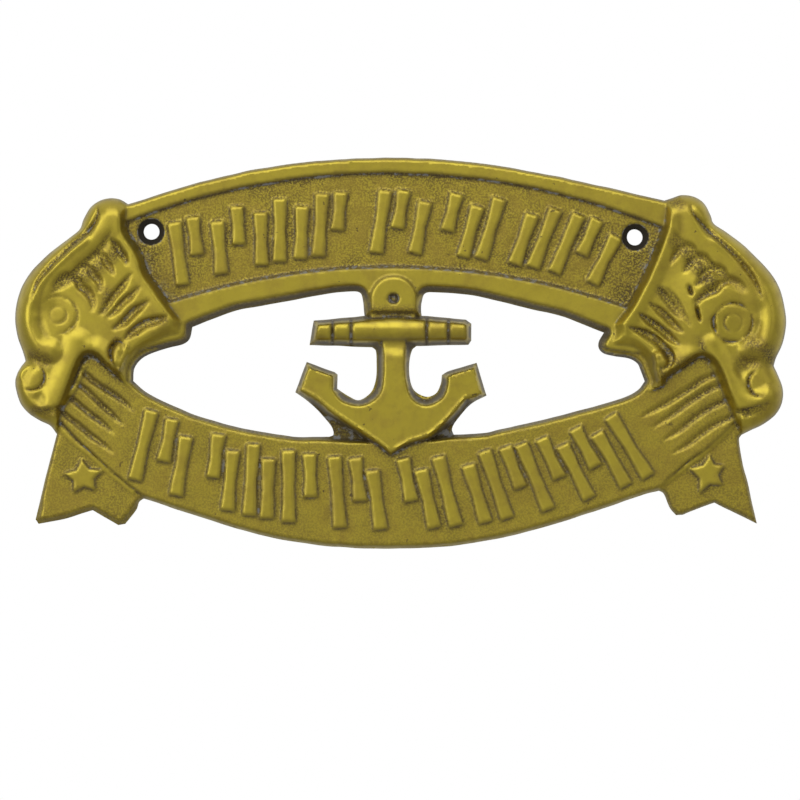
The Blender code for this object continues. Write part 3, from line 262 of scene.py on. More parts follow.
# The heads: swells and rolls (points, half width, rise), grooves (points, half width, depth) and cuts
LEFT_HEAD = dict(
    brow=LEFT_BROW,
    pearl=(-110.4, -7.2),
    chin=[
        (-103.0, -24.5), (-102.0, -20.6), (-101.2, -17.6), (-99.2, -13.4), (-97.6, -8.6), (-95.6, -3.8),
        (-93.8, -1.2), (-91.6, -1.2), (-88.8, -3.8), (-86, -6.4), (-81.6, -10.2),
    ],
    jaw=[(-81.6, -10.2, CORNER), (-60, -4, CORNER), (-59, 9, CORNER), (-64.6, 9.6)],
    collar=[
        (-64.6, 9.6), (-66.2, 11), (-69, 15), (-72.5, 20), (-75.4, 24), (-76.4, 27.5), (-78.4, 31.8),
        (-81.4, 36.3), (-81.6, 40), (-81.5, 44.4),
    ],
    swells=[
        ([(-100, 6), (-95, 1)], 13, 0.7), ([(-90.8, 0.8), (-88.4, -1.2), (-85.6, -5.6)], 4.6, 0.8),
        ([(-85, 48), (-87, 39), (-94, 32), (-100, 26.6), (-105, 21), (-107.4, 16.6)], 5.0, 0.8),
        ([(-83, 48), (-83, 37), (-80, 30.4), (-77.4, 24.4), (-74.4, 19.4), (-71, 14),
          (-67.6, 9.8)], 3.4, 0.7), ([(-109.6, -2.2), (-106, -2.6)], 2.8, -0.6),
        ([(-107.8, -13.4), (-107.2, -14.4)], 2.2, -0.6), ([(-108, 8.6), (-106.6, 4.6)], 2.6, -0.5),
    ],
    rolls=[
        ([(-96.6, 34.6), (-101.4, 30.9), (-106.4, 26.2), (-110, 20.8), (-111.6, 14.4), (-111.6, 8.6),
          (-110, 4.2), (-107.2, 1.4), (-104.6, 0.4)], 3.9, 1.6),
        ([(-92.6, 43), (-94, 40.2), (-95.2, 37.4)], 2.4, 1.2),
        ([(-96.4, 3), (-98.2, -3), (-100.6, -9), (-103, -14), (-103.8, -15.6)], 4.6, 1.0),
        ([(-114, -10.5), (-111.6, -15), (-108.4, -17)], 2.2, 0.7),
        ([(-84.1, 0.6), (-84.6, -2.6)], 1.8, 1.2),
    ],
    grooves=[
        ([(-90.6, 44.6), (-90.3, 41.6), (-91.4, 38.6), (-93.6, 36), (-97, 33), (-101, 29.3),
          (-105, 25.2), (-108.4, 20.6), (-110.2, 15)], 1.4, 1.5),
        (bow((-110.4, -7.2), 4.1, 60, -120), 0.9, 0.9), (bow((-102.2, 11.1), 5.7, 80, -95), 0.85, 0.5),
        (bow((-102.2, 11.1), 5.7, 60, 150), 0.7, 0.2), (bow((-102.2, 11.1), 2.5, 60, -130), 0.6, 0.4),
        (bow((-102.2, 11.1), 2.5, 40, 260), 0.5, 0.2),
        ([(-82.4, 2.4), (-84.2, 3.3), (-86, 2.2), (-86.7, 0), (-86.1, -2.6), (-85.2, -5)], 1.0, 1.3),
    ],
    cuts=[
        ([(-104.6, 17.4), (-101, 21.4), (-95.5, 26.5), (-90.5, 31), (-86.3, 36.4)], 3.7, 0.9),
        ([(-92, 12), (-92.4, 14.4), (-93, 16), (-94.5, 17.8), (-96.2, 19), (-97, 20.8), (-99, 21.8),
          (-101.5, 21), (-103.8, 18.4)], 3.2, 1.2),
        ([(-89.8, 17.6), (-90.3, 20.3), (-91.6, 21.8), (-92.8, 23.3), (-93.8, 25), (-95.5, 25),
          (-97.5, 23.2)], 3.0, 1.2),
        ([(-85.4, 22.8), (-87.2, 24.8), (-88.4, 26.2), (-89.4, 28.2), (-91, 28.9),
          (-93, 27.5)], 2.8, 1.1),
        ([(-81.7, 25.8), (-82.8, 28), (-84.2, 29.5), (-85.3, 31.4), (-86.8, 34.2)], 2.5, 1.0),
        ([(-89.8, 11), (-85.8, 17.6), (-80.4, 23.6)], 2.5, 1.1),
        ([(-87.6, 10.2), (-83.2, 15.6), (-77.8, 19.8)], 2.5, 1.1),
        ([(-86.2, 6.8), (-83, 9.9), (-79.6, 13.4), (-75.2, 15.6)], 3.0, 1.4),
        ([(-82.6, 3.6), (-80, 7.2), (-75, 10.1), (-69.4, 10.8)], 3.4, 1.5),
        ([(-108.8, -17.8), (-104.4, -16.8), (-100, -15.8)], 3.0, 1.2),
    ],
)
RIGHT_HEAD = dict(
    brow=RIGHT_BROW,
    pearl=(107.9, -9.2),
    chin=[
        (79, -9.6), (80, -7.5), (84, -5.2), (87, -3), (90, -1.5), (92.8, -3), (94.8, -6.4), (97, -12),
        (98.9, -16.9), (100.6, -20.4), (102.2, -24.6),
    ],
    jaw=[(61.8, 6.6, CORNER), (56, 5, CORNER), (56, -5, CORNER), (74.5, -11.5, CORNER), (79, -9.6)],
    collar=[
        (79, 45.5), (78.6, 41), (77.9, 37), (75.8, 31), (72.8, 24), (69, 16.5), (65.8, 11.5),
        (61.8, 6.6),
    ],
    swells=[
        ([(91, 15), (91, 13)], 14, 1.2), ([(86, -1.4), (83, -3.4), (80, -5.6)], 4.6, 0.8),
        ([(84, 49), (87.6, 38), (93, 31.6), (98.6, 26.6), (103, 21.6), (105.6, 17)], 5.0, 0.8),
        ([(81, 49), (80.4, 36), (78, 29), (74.8, 22), (71, 14.6), (66.8, 8), (64.4, 5)], 3.4, 0.8),
        ([(104.8, -2.4), (102.2, -5)], 3.8, -1.1), ([(106.4, 8), (105.8, 4.4)], 2.4, -0.4),
    ],
    rolls=[
        ([(96, 35), (101, 31), (106.4, 25.8), (109.8, 20), (111, 13.6), (111, 8), (109.8, 4),
          (107.4, 1.6), (104.4, 1)], 3.9, 1.6), ([(89.8, 44.4), (91.4, 41.6)], 2.5, 1.2),
        ([(93, 2), (96.6, -5), (99.2, -11.4), (102.6, -14.6), (106.6, -14.8), (110.6, -13)], 3.8, 1.1),
        ([(77.6, -1.2), (78, -2.6)], 2.0, 1.5),
    ],
    grooves=[
        ([(86.6, 45), (87, 42), (89.4, 39), (93.4, 35), (97.6, 31), (102, 26.5), (105.6, 21.4),
          (108.2, 15.6)], 1.4, 1.5), (bow((107.8, -9.2), 4.1, 110, 280), 0.9, 1.0),
        (bow((99.2, 8.9), 5.9, 150, 215), 1.1, 1.2), (bow((99.2, 8.9), 5.8, 40, 120), 0.8, 0.7),
        (bow((99.2, 8.9), 5.8, -60, 30), 0.8, 0.7), (bow((99.2, 8.9), 5.8, 230, 290), 0.9, 0.7),
        (bow((99.2, 8.9), 5.8, 0, 350), 0.7, 0.3), (bow((99.2, 8.9), 2.7, 100, 270), 0.7, 0.55),
        (bow((99.2, 8.9), 2.7, -90, 110), 0.5, 0.25), ([(88, 14.6), (88.6, 12), (89.5, 8.8)], 0.9, 1.5),
        ([(86, 20.2), (86.9, 16.8)], 1.1, 1.3),
    ],
    cuts=[
        ([(81.3, 36.2), (84, 33.5), (88, 30), (92.5, 27.2), (95.8, 24.6), (99.5, 21.4),
          (103.2, 17.6)], 3.7, 0.9),
        ([(103.6, 17.8), (100.5, 20.2), (98, 20.6), (96, 19.8), (94.5, 18), (92.5, 17.2),
          (90.5, 16.2), (88.8, 14.8), (88.4, 12.4)], 3.0, 1.2),
        ([(97.8, 21.6), (95.6, 24), (93.2, 24.3), (91, 23), (90.2, 21.2), (87.8, 19.8)], 2.8, 1.1),
        ([(92.4, 25), (90.6, 27.3), (88.4, 27.6), (86.8, 26), (85.6, 24.6), (84.2, 23.8)], 2.8, 1.1),
        ([(88.4, 28.8), (86.6, 30.7), (84.6, 31), (82.6, 28.8), (80.4, 26.2)], 2.5, 1.0),
        ([(76.8, 20), (80.6, 16), (83.8, 11.4), (84.8, 9.8)], 3.0, 1.1),
        ([(79.6, 19.4), (83, 15.2), (86.8, 7.4)], 1.8, 0.7),
        ([(74, 15.2), (78.6, 12.4), (84.6, 5.8)], 2.8, 1.2),
        ([(71, 12), (75.4, 9.6), (79.6, 6.2), (83.8, 2)], 3.0, 1.4),
        ([(67.8, 7.8), (72, 7), (76.4, 4.8), (79.8, 1.6), (81.6, -1.6), (80.6, -4.4),
          (77.8, -5.2)], 3.4, 1.5), ([(99.8, -17.4), (105, -16.6), (110.4, -14.6)], 3.7, 1.3),
    ],
)

# Patches that the polishing wheel didn't reach (points, reach)
ROUGH_PATCHES = [
    ([(-109.5, -1.2), (-105.5, -2.8)], 3.2), ([(-88.6, 12.6), (-87.2, 18)], 2.4),
    ([(-93, -3), (-87.5, -5.5)], 3.4), ([(-86.4, 0.6), (-84.4, 3.8)], 1.9),
    ([(-109.6, -17.4), (-106.6, -17)], 2.0), ([(-94.6, 22.6), (-88, 27), (-84.6, 30.6)], 3.4),
    ([(-81, 5), (-75, 8.6), (-70.4, 9.4)], 1.8), ([(-12, 12.6), (7, 12.6)], 2.4),
    ([(-84, -5), (-85, -7)], 1.6), ([(104, 3), (108.4, 1.2), (110.4, -2)], 3.6),
    ([(102.4, -3), (105.6, -3)], 3.8), ([(77.6, 18.4), (82.4, 12.4)], 2.6),
    ([(82, 33), (86, 29), (90, 24), (92.6, 20.6)], 3.4), ([(83.4, -3.6), (91, -3)], 3.2),
    ([(80.6, 45.4), (83.6, 44)], 2.4), ([(73, 6), (77, 3)], 1.8), ([(89.4, 3.6), (90.2, 0.6)], 1.6),
    ([(79, -7.6), (77.6, -6)], 1.8), ([(76, 8.6), (80, 6)], 1.5),
]

# Carved lines: the share of their length that tapers, and a cut's steep side and level floor
GROOVE_TAPER = 0.3
CUT_LIP = 0.5
CUT_FLOOR = 0.3

# How rough the sunk ground is, 1 at most, and the depth at which carved lines are as rough
BANNER_GRAIN = 0.62
TAIL_GRAIN = 0.80
WEB_GRAIN = 0.5
ROUGH_DEPTH = 0.7

# How dark dirt, and shade painted under the upper rim, by the collars and in the web, make each place:
# hollows reach 1, and bare holes more
FIELD_TOP_SHADE_AND_DIRT = 1.02
FIELD_BOTTOM_DIRT = 0.85
COLLAR_SHADE_AND_DIRT, COLLAR_SHADE_REACH = 0.50, 9
WEB_SHADE_AND_DIRT = 0.85
BAND_DIRT = 1.0
DIMPLE_DIRT = 1.35
SINK_DIRT = 1.6
MISSED_DIRT = 0.44

# Widths of the heads' edges, seen from the front
BROW_ROUND = 5.6
CHIN_WIDTH = 1.8
COLLAR_WIDTH = 2.3
JAW_PLACES, JAW_WIDTHS = (70.0, 80.0), (6.2, 3.8)
HEAD_OVERLAP = 0.3

# How far off distances are worked out, and the height of a form where it isn't
REACH = 14.0
OUTSIDE = -9


def curve(points, spacing=0.8, closed=False):
    """A smooth line through the drawn points, which keeps the corners that are marked."""
    knots = [np.array(p[:2], float) * UNIT for p in points]
    corners = [len(p) == 3 for p in points]
    ring = closed and not any(corners)
    if closed:
        first = 0 if ring else corners.index(True)
        knots = knots[first:] + knots[:first + 1]
        corners = corners[first:] + corners[:first + 1]
    cuts = [0] + [i for i in range(1, len(knots) - 1) if corners[i]] + [len(knots) - 1]
    line = []
    for start, end in zip(cuts, cuts[1:]):
        run = knots[start:end + 1]
        before = knots[-2] if ring else 2 * run[0] - run[1]
        after = knots[1] if ring else 2 * run[-1] - run[-2]
        line += smooth_run([before, *run, after], spacing)[:-1]
    return np.array(line if closed else line + [knots[-1]])


def smooth_run(knots, spacing):
    """Evenly spaced points on a centripetal curve from the second knot to the last but one."""
    gaps = [max(float(np.linalg.norm(b - a)), 1e-6) ** 0.5 for a, b in zip(knots, knots[1:])]
    dense = []
    for i in range(1, len(knots) - 2):
        p, q, gap = knots[i], knots[i + 1], gaps[i]
        leaving = (q - knots[i - 1]) / (gap + gaps[i - 1]) * gap
        arriving = (knots[i + 2] - p) / (gap + gaps[i + 1]) * gap
        for t in np.linspace(0, 1, 16, endpoint=False):
            a, b = 2 * t ** 3 - 3 * t ** 2 + 1, t ** 3 - 2 * t ** 2 + t
            dense.append(a * p + b * leaving + (1 - a) * q + (t ** 3 - t ** 2) * arriving)
    dense = np.array(dense + [knots[-2]])
    along = np.concatenate([[0], np.cumsum(np.linalg.norm(np.diff(dense, axis=0), axis=1))])
    at = np.linspace(0, along[-1], max(1, round(along[-1] / spacing)) + 1)
    return list(np.column_stack([np.interp(at, along, dense[:, 0]), np.interp(at, along, dense[:, 1])]))


def near(line, x, z, reach):
    """Distance to an open line, up to reach, the share of its length there, and whether on its right."""
    distance, place, right = np.full(x.shape, float(reach)), np.zeros(x.shape), np.zeros(x.shape, bool)
    low, high = line.min(axis=0) - reach, line.max(axis=0) + reach
    about = np.flatnonzero((x > low[0]) & (x < high[0]) & (z > low[1]) & (z < high[1]))
    px, pz = x[about], z[about]
    squared, share = np.full(px.shape, float(reach) ** 2), np.zeros(px.shape)
    side = np.zeros(px.shape, bool)
    steps = np.linalg.norm(np.diff(line, axis=0), axis=1)
    run = 0.0
    for a, b, step in zip(line, line[1:], steps):
        low, high = np.minimum(a, b) - reach, np.maximum(a, b) + reach
        k = np.flatnonzero((px > low[0]) & (px < high[0]) & (pz > low[1]) & (pz < high[1]))
        e = b - a
        dx, dz = px[k] - a[0], pz[k] - a[1]
        s = np.clip((dx * e[0] + dz * e[1]) / max(step * step, 1e-12), 0, 1)
        d = (dx - s * e[0]) ** 2 + (dz - s * e[1]) ** 2
        closer = d < squared[k]
        hit = k[closer]
        squared[hit] = d[closer]
        share[hit] = (run + s[closer] * step) / steps.sum()
        side[hit] = (e[0] * dz - e[1] * dx)[closer] < 0
        run += step
    distance[about], place[about], right[about] = np.sqrt(squared), share, side
    return distance, place, right


def inside(loop, x, z):
    """Which points lie in a closed loop."""
    within = np.zeros(x.shape, bool)
    low, high = loop.min(axis=0), loop.max(axis=0)
    about = np.flatnonzero((x > low[0]) & (x < high[0]) & (z > low[1]) & (z < high[1]))
    px, pz = x[about], z[about]
    hit = np.zeros(px.shape, bool)
    for a, b in zip(loop, np.roll(loop, -1, 0)):
        if a[1] != b[1]:
            crosses = (a[1] > pz) != (b[1] > pz)
            hit ^= crosses & (px < (b[0] - a[0]) * (pz - a[1]) / (b[1] - a[1]) + a[0])
    within[about] = hit
    return within


def depth_in(loop, x, z, reach=REACH):
    """Distance to a closed loop, up to reach: above 0 inside it and below 0 outside."""
    distance = near(closed(loop), x, z, reach)[0]
    return np.where(inside(loop, x, z), distance, -distance)


def under_arc(x, z, arc):
    """How far each point lies under an arc; a negative radius makes it a hollow one."""
    crown, radius, lean = (value * UNIT for value in arc)
    return radius - math.copysign(1, radius) * np.hypot(x - lean, z - crown + radius)


def wall(distance, level, draft, base=FOOT):
    """Height of a drafted wall at a distance in from its foot."""
    return base + (level - base) * np.clip(distance / draft, -2, 1)


def rounded(distance, level, width, base=FOOT):
    """Height of a rounded edge at a distance in from its foot."""
    t = np.clip(distance / width, 0, 1)
    below = 3 * np.clip(distance / width, -2, 0)
    return base + (level - base) * np.where(distance > 0, np.sqrt(1 - (1 - t) ** 2), below)


def slanted(distance, level, width, base=FOOT):
    """Height of a steep wall with a soft upper edge at a distance in from its foot."""
    t = np.clip(distance / width, 0, 1)
    risen = 0.7 * t + 0.3 * np.sqrt(1 - (1 - t) ** 2)
    return base + (level - base) * risen + 6 * np.clip(distance, -1, 0)


def bell(distance, half):
    """A smooth hump: 1 at no distance and 0 beyond the half width."""
    return np.clip(1 - (distance / half) ** 2, 0, 1) ** 2


def arched(distance, half):
    """A fuller hump, with a crease at its feet."""
    return np.clip(1 - (distance / half) ** 2, 0, 1)


def tapered(share):
    """The share of its depth that a carved line has along its length: none at both ends."""
    return np.sqrt(np.clip(np.minimum(share, 1 - share) / GROOVE_TAPER, 0, 1))


def groove_depth(x, z, points, half, depth):
    """Depth of a groove, rounded at the bottom."""
    distance, share, _ = near(curve(points), x, z, half)
    k = tapered(share)
    width = np.maximum(half * k, 1e-3)
    return depth * k * np.where(distance < width, 0.5 + 0.5 * np.cos(np.pi * distance / width), 0)


def cut_depth(x, z, points, width, depth):
    """Depth of a cut that is steep along its line and rises again to the line's right."""
    distance, share, right = near(curve(points), x, z, width)
    k = tapered(share)
    gentle = 1 - smooth_step(distance / np.maximum(width * k, 1e-3), CUT_FLOOR, 1)
    return depth * k * np.where(right, gentle, np.clip(1 - distance / CUT_LIP, 0, 1))


def carved_depth(x, z, grooves, cuts):
    """The deepest of some grooves and cuts at each point."""
    depths = [groove_depth(x, z, *groove) for groove in grooves] + [cut_depth(x, z, *cut) for cut in cuts]
    return np.maximum.reduce(depths)


def outline():
    """The loops that bound the casting: its outside, two openings and two screw holes."""
    runs = (ARCH_TOP, LEFT_BROW, LEFT_TAIL, BANNER_EDGE, RIGHT_TAIL, RIGHT_BROW)
    outside = np.vstack([curve(run, EDGE_STEP)[:-1] for run in runs])
    openings = [curve(points, EDGE_STEP, closed=True) for points in (LEFT_OPENING, RIGHT_OPENING)]
    holes = [circle(hole, HOLE_RADIUS, HOLE_SIDES) for hole in HOLES]
    return [outside, *openings, *holes]


def circle(centre, radius, sides):
    """A loop whose area is that of the round circle."""
    turn = np.linspace(0, 2 * math.pi, sides, endpoint=False)
    reach = radius * math.sqrt(2 * math.pi / sides / math.sin(2 * math.pi / sides))
    return np.column_stack([np.cos(turn), np.sin(turn)]) * reach + np.array(centre) * UNIT


def head_loop(head):
    """The outline of a head as one loop."""
    runs = [curve(head[name]) for name in ("brow", "chin", "jaw", "collar")]
    if head is RIGHT_HEAD:
        runs = [curve(head[name]) for name in ("chin", "brow", "collar", "jaw")]
    return np.vstack([run[:-1] for run in runs])


def star_loop(tips):
    """A star's outline from its tips."""
    centre = np.mean(tips, axis=0)
    loop = []
    for tip, following in zip(tips, tips[1:] + tips[:1]):
        waist = centre + (np.mean([tip, following], axis=0) - centre) * STAR_WAIST
        loop += [(*tip, CORNER), (*waist, CORNER)]
    return curve(loop, 3.0, closed=True)


def stroke_loops(inset=0.0):
    """Outlines of the raised bars of both rows, drawn in by an inset."""
    loops = []
    for row in (TOP_ROW, BOTTOM_ROW):
        crown, radius, lean = (value * UNIT for value in row["arc"])
        for place, (middle, count) in enumerate(zip(row["places"], row["counts"])):
            for bar in range(count):
                along = middle * UNIT + (bar - (count - 1) / 2) * STROKE_PITCH
                turn = math.asin((along - lean) / radius)
                cycle = (place + bar) % len(STROKE_LENGTHS)
                length = row["length"] * STROKE_LENGTHS[cycle]
                out = radius + row["length"] * STROKE_SHIFTS[cycle]
                centre = (lean + out * math.sin(turn), crown - radius + out * math.cos(turn))
                loops.append(bar_loop(centre, turn + math.radians(row["lean"]), length, inset))
    return loops


def bar_loop(centre, turn, length, inset):
    """One bar with flared ends, turned clockwise from upright."""
    up = np.array([math.sin(turn), math.cos(turn)])
    side = np.array([up[1], -up[0]])
    loop = []
    for hand in (-1, 1):
        for end in (-hand, 0, hand):
            half = STROKE_WIDTH / 2 * (STROKE_FLARE if end else 1) - inset
            loop.append(np.array(centre) - side * hand * half + up * end * (length / 2 - inset))
    return np.array(loop)


def arch_height(x, z, loops):
    """The arch: a sunk field between two rims."""
    outer = near(closed(loops[0]), x, z, REACH)[0]
    opening = nearest(loops[1:3], x, z)
    level = ARCH_LEVEL + RIM_RISE
    rim = np.minimum(wall(outer, level, TOP_DRAFT), wall(opening, level, ARCH_DRAFT))
    field = np.minimum(under_arc(x, z, FIELD_TOP), -under_arc(x, z, FIELD_BOTTOM))
    height = np.minimum(rim, level - RIM_RISE * np.clip(field / FEATURE_DRAFT, 0, 1))
    return np.where((np.abs(x) < ARCH_REACH * UNIT) & (z > 0), height, OUTSIDE)


def nearest(loops, x, z):
    """Distance to the nearest of some loops."""
    return np.minimum.reduce([near(closed(loop), x, z, REACH)[0] for loop in loops])


def closed(loop):
    return np.vstack([loop, loop[:1]])


def banner_height(x, z, loops):
    """The lower banner with its fluted ends."""
    outer = near(closed(loops[0]), x, z, REACH)[0]
    opening = nearest(loops[1:3], x, z)
    edge = wall(np.minimum(outer, opening), BANNER_LEVEL, BANNER_DRAFT)
    across = wall(under_arc(x, z, BANNER_TOP), BANNER_LEVEL, BANNER_DRAFT)
    middle = np.where((x > -66 * UNIT) & (x < 60 * UNIT) & (z < 0), across, OUTSIDE)
    for end in (BANNER_END_LEFT, BANNER_END_RIGHT):
        within = depth_in(curve(end, closed=True), x, z)
        middle = np.maximum(middle, wall(within, BANNER_LEVEL, BANNER_DRAFT))
    return np.minimum(edge, middle) - carved_depth(x, z, [], FLUTES)


def tail_height(x, z, loops):
    """The ribbon's forked tails, each with a star."""
    outer = near(closed(loops[0]), x, z, REACH)[0]
    draft = np.where(x < 0, np.interp(z, TAIL_PLACES, TAIL_DRAFTS), TAIL_DRAFT)
    height = np.where((z < -15 * UNIT) & (np.abs(x) > 76 * UNIT), wall(outer, TAIL_LEVEL, draft), OUTSIDE)
    for tips in (STAR_LEFT, STAR_RIGHT):
        height = height + STAR_RISE * np.clip(depth_in(star_loop(tips), x, z) / FEATURE_DRAFT, 0, 1)
    return height


def anchor_height(x, z, loops):
    """The anchor: arms and shank, stock, and the lug on its neck."""
    opening = nearest(loops[1:3], x, z)
    face = depth_in(curve(ANCHOR_FACE, closed=True), x, z)
    slope = (ANCHOR_LEVEL - FOOT) / ANCHOR_DRAFT
    near_it = (x > -34 * UNIT) & (x < 28 * UNIT) & (z < 5 * UNIT) & (z > -31 * UNIT)
    body = np.maximum(np.minimum(ANCHOR_LEVEL, ANCHOR_LEVEL + slope * face), WEB_LEVEL)
    body = np.where(near_it, body, OUTSIDE)
    body = body - DIP_DEPTH * bell(z - DIP_PLACE * UNIT, DIP_REACH) * (face > 0)
    stock_in = depth_in(curve(STOCK, closed=True), x, z)
    crown = np.clip(1 - ((z - STOCK_MIDDLE * UNIT) / (STOCK_HALF_HEIGHT * UNIT)) ** 2, 0, 1)
    inner = np.clip(stock_in / STOCK_DRAFT, 0, 1)
    stock = wall(stock_in, STOCK_EDGE_LEVEL, STOCK_DRAFT) + STOCK_CROWN * crown * inner
    for band in STOCK_BANDS:
        stock = stock - BAND_DEPTH * bell(x - band * UNIT, BAND_HALF_WIDTH) * inner
    neck = wall(depth_in(curve(NECK, closed=True), x, z), NECK_LEVEL, ANCHOR_DRAFT)
    beside_it, above_it = x - DIMPLE[0] * UNIT, z - DIMPLE[1] * UNIT
    beyond = np.hypot(beside_it, np.maximum(above_it, 0)) - LUG_RADIUS + LUG_EDGE
    lug = LUG_LEVEL - LUG_SLOPE * np.maximum(np.maximum(beyond, LUG_FLAT * UNIT - z), 0)
    reach = np.hypot(beside_it, above_it)
    sunk = np.clip((DIMPLE_RADIUS - reach) / DIMPLE_DRAFT, 0, 1)
    lug = np.minimum(lug, LUG_LEVEL - DIMPLE_DEPTH * sunk)
    limit = wall(opening, STOCK_EDGE_LEVEL + STOCK_CROWN, STOCK_DRAFT)
    return np.minimum(np.maximum.reduce([body, stock, neck, lug]), limit)


def head_height(head, x, z, loops):
    """A sea-beast's head: walls and rounded edges, swells and rolls, grooves and cuts."""
    within = inside(head_loop(head), x, z)
    px, pz = x[within], z[within]
    height = rounded(near(curve(head["brow"]), px, pz, REACH)[0], HEAD_LEVEL, BROW_ROUND)
    under = np.interp(np.abs(px), JAW_PLACES, JAW_WIDTHS)
    height = np.minimum(height, slanted(nearest(loops[1:3], px, pz), HEAD_LEVEL, under))
    for name, width, level in (("chin", CHIN_WIDTH, BANNER_LEVEL), ("collar", COLLAR_WIDTH, ARCH_LEVEL)):
        distance = near(curve(head[name]), px, pz, REACH)[0]
        height = np.minimum(height, slanted(distance, HEAD_LEVEL, width, level - HEAD_OVERLAP))
    lift = np.zeros(px.shape)
    for shape, mounds in ((bell, head["swells"]), (arched, head["rolls"])):
        for points, half, rise in mounds:
            lift += rise * shape(near(curve(points), px, pz, half)[0], half)
    fade = np.clip((height - FOOT) / (HEAD_LEVEL - FOOT), 0, 1) ** 2
    height += np.minimum(lift, MOUND_LIMIT) * fade
    reach = np.hypot(px - head["pearl"][0] * UNIT, pz - head["pearl"][1] * UNIT)
    height = np.maximum(height, PEARL_LEVEL - 2 * np.maximum(reach - PEARL_RADIUS, 0))
    height -= carved_depth(px, pz, head["grooves"], head["cuts"])
    whole = np.full(x.shape, float(OUTSIDE))
    whole[within] = height
    return whole


def relief(plan, loops):
    """At each point: the front's height, and the shares of rough ground, heads, dirt with painted shade,
    and wear.
    """
    x, z = plan[:, 0], plan[:, 1]
    arch, banner, tail = arch_height(x, z, loops), banner_height(x, z, loops), tail_height(x, z, loops)
    on_banner = BANNER_GRAIN * (banner > BANNER_LEVEL - 0.2)
    ground = np.where(arch > banner, arch < ARCH_LEVEL + RIM_RISE * 0.4, on_banner).astype(float)
    height = np.maximum(arch, banner)
    ground = np.where(tail > height, TAIL_GRAIN * (tail < TAIL_LEVEL + STAR_RISE * 0.5), ground)
    for loop in stroke_loops():
        rise = np.clip(depth_in(loop, x, z, 2) / FEATURE_DRAFT, 0, 1)
        height = height + STROKE_RISE * rise
        ground = ground * (1 - rise)
    anchor = anchor_height(x, z, loops)
    ground = np.where(anchor > np.maximum(height, tail), 0, ground)
    height = np.maximum.reduce([height, tail, anchor])
    heads = np.zeros(x.shape)
    for head in (LEFT_HEAD, RIGHT_HEAD):
        carved = head_height(head, x, z, loops)
        heads = np.where(carved > height, 1, heads)
        height = np.maximum(height, carved)
    # Carved lines and missed patches stay rough
    grooves, cuts = (LEFT_HEAD[name] + RIGHT_HEAD[name] for name in ("grooves", "cuts"))
    in_heads = carved_depth(x, z, grooves, cuts)
    carved = np.where(heads > 0, in_heads, carved_depth(x, z, [], FLUTES) * (banner >= height))
    ground = np.maximum(ground * (1 - heads), np.clip(carved / ROUGH_DEPTH, 0, 1))
    missed = np.zeros(x.shape)
    for points, reach in ROUGH_PATCHES:
        missed = np.maximum(missed, bell(near(curve(points), x, z, reach)[0], reach))
    ground = np.maximum(ground, missed)
    # The lug's rim and the lips along walls are worn bright
    centred = np.hypot(x - DIMPLE[0] * UNIT, z - DIMPLE[1] * UNIT)
    worn = 0.7 * bell(centred - LUG_RADIUS, 1.2) * (z > (DIMPLE[1] - 1) * UNIT)
    for points, half, rise in LIPS:
        lip = arched(near(curve(points), x, z, half)[0], half)
        height = height + rise * lip * (height > FOOT + 1)
        ground = ground * (1 - lip)
        worn = np.maximum(worn, lip)
    # Dirt lies in corners that are too narrow or too plain for the raster to find, and shade is painted
    # under the upper rim, by the collars and in the web
    on_arch = (arch >= height) & (np.abs(x) < 79 * UNIT)
    below_top, below_bottom = under_arc(x, z, FIELD_TOP), under_arc(x, z, FIELD_BOTTOM)
    by_collars = REACH
    for head in (LEFT_HEAD, RIGHT_HEAD):
        by_collars = np.minimum(by_collars, near(curve(head["collar"]), x, z, COLLAR_SHADE_REACH)[0])
    web = (anchor >= height) & (anchor < WEB_LEVEL + 0.6) & (z < -15 * UNIT)
    dirt_and_shade = [
        # Painted shade, with some dirt, along the foot of the upper rim, whose wall faces down
        FIELD_TOP_SHADE_AND_DIRT * bell(below_top - 0.6, 0.75) * on_arch * (below_bottom < 0),
        FIELD_BOTTOM_DIRT * bell(below_bottom - 0.05, 0.7) * on_arch,
        # Painted shade, with some dirt, on the field beside the heads' collars, which stand high over it
        COLLAR_SHADE_AND_DIRT * bell(by_collars, COLLAR_SHADE_REACH) * (ground > 0.5) * on_arch,
        MISSED_DIRT * missed * heads,
        # Painted shade, with some dirt, in the low web between the anchor's arms and the banner
        WEB_SHADE_AND_DIRT * web,
        DIMPLE_DIRT * bell(centred - 1.1, 0.9),
    ]
    for band in STOCK_BANDS:
        dirt_and_shade.append(BAND_DIRT * bell(x - band * UNIT, BAND_HALF_WIDTH) * (anchor >= height) * (z > UNIT))
    dark = np.maximum.reduce(dirt_and_shade)
    ground = np.maximum(ground, WEB_GRAIN * web)
    # The countersinks go in last
    for hole in HOLES:
        reach = np.hypot(x - hole[0] * UNIT, z - hole[1] * UNIT)
        sink = np.where(reach < SINK_RADIUS, ARCH_LEVEL - SINK_RADIUS + reach, np.inf)
        height = np.minimum(height, sink)
        dark = np.maximum(dark, SINK_DIRT * (reach < SINK_RADIUS - 0.15))
        ground = np.where(reach < SINK_RADIUS, 0, ground)
    return np.maximum(height, FOOT), ground, heads, dark, worn


# The raster: its cells, how softly the casting's edges are blurred, and its unevenness as wavelength,
# seed and height
CELL = 0.25
MARGIN = 3.0
SOFTEN = 0.18
GRAIN = ((1.3, 3, 0.030), (3.2, 5, 0.035))
HANDWORK = ((11.0, 7, 0.060), (4.5, 9, 0.022))
OFF_THE_EDGE = -6.0

# The fine mesh: gaps between its points in cells, and the bends that ask for the smaller ones
COARSE, MIDDLE, FINE = 6, 3, 2
BENDS_SOME = 0.010
BENDS_MUCH = 0.036
AROUND = [(dj, di) for dj in (-1, 0, 1) for di in (-1, 0, 1)]
EDGE_STEP = 0.5
POINT_GAP = 0.3

# How far the outline strays sideways from the drawing
WOBBLE = 0.10
WOBBLE_WAVELENGTH = 7.0
WOBBLE_SEEDS = (21, 22)


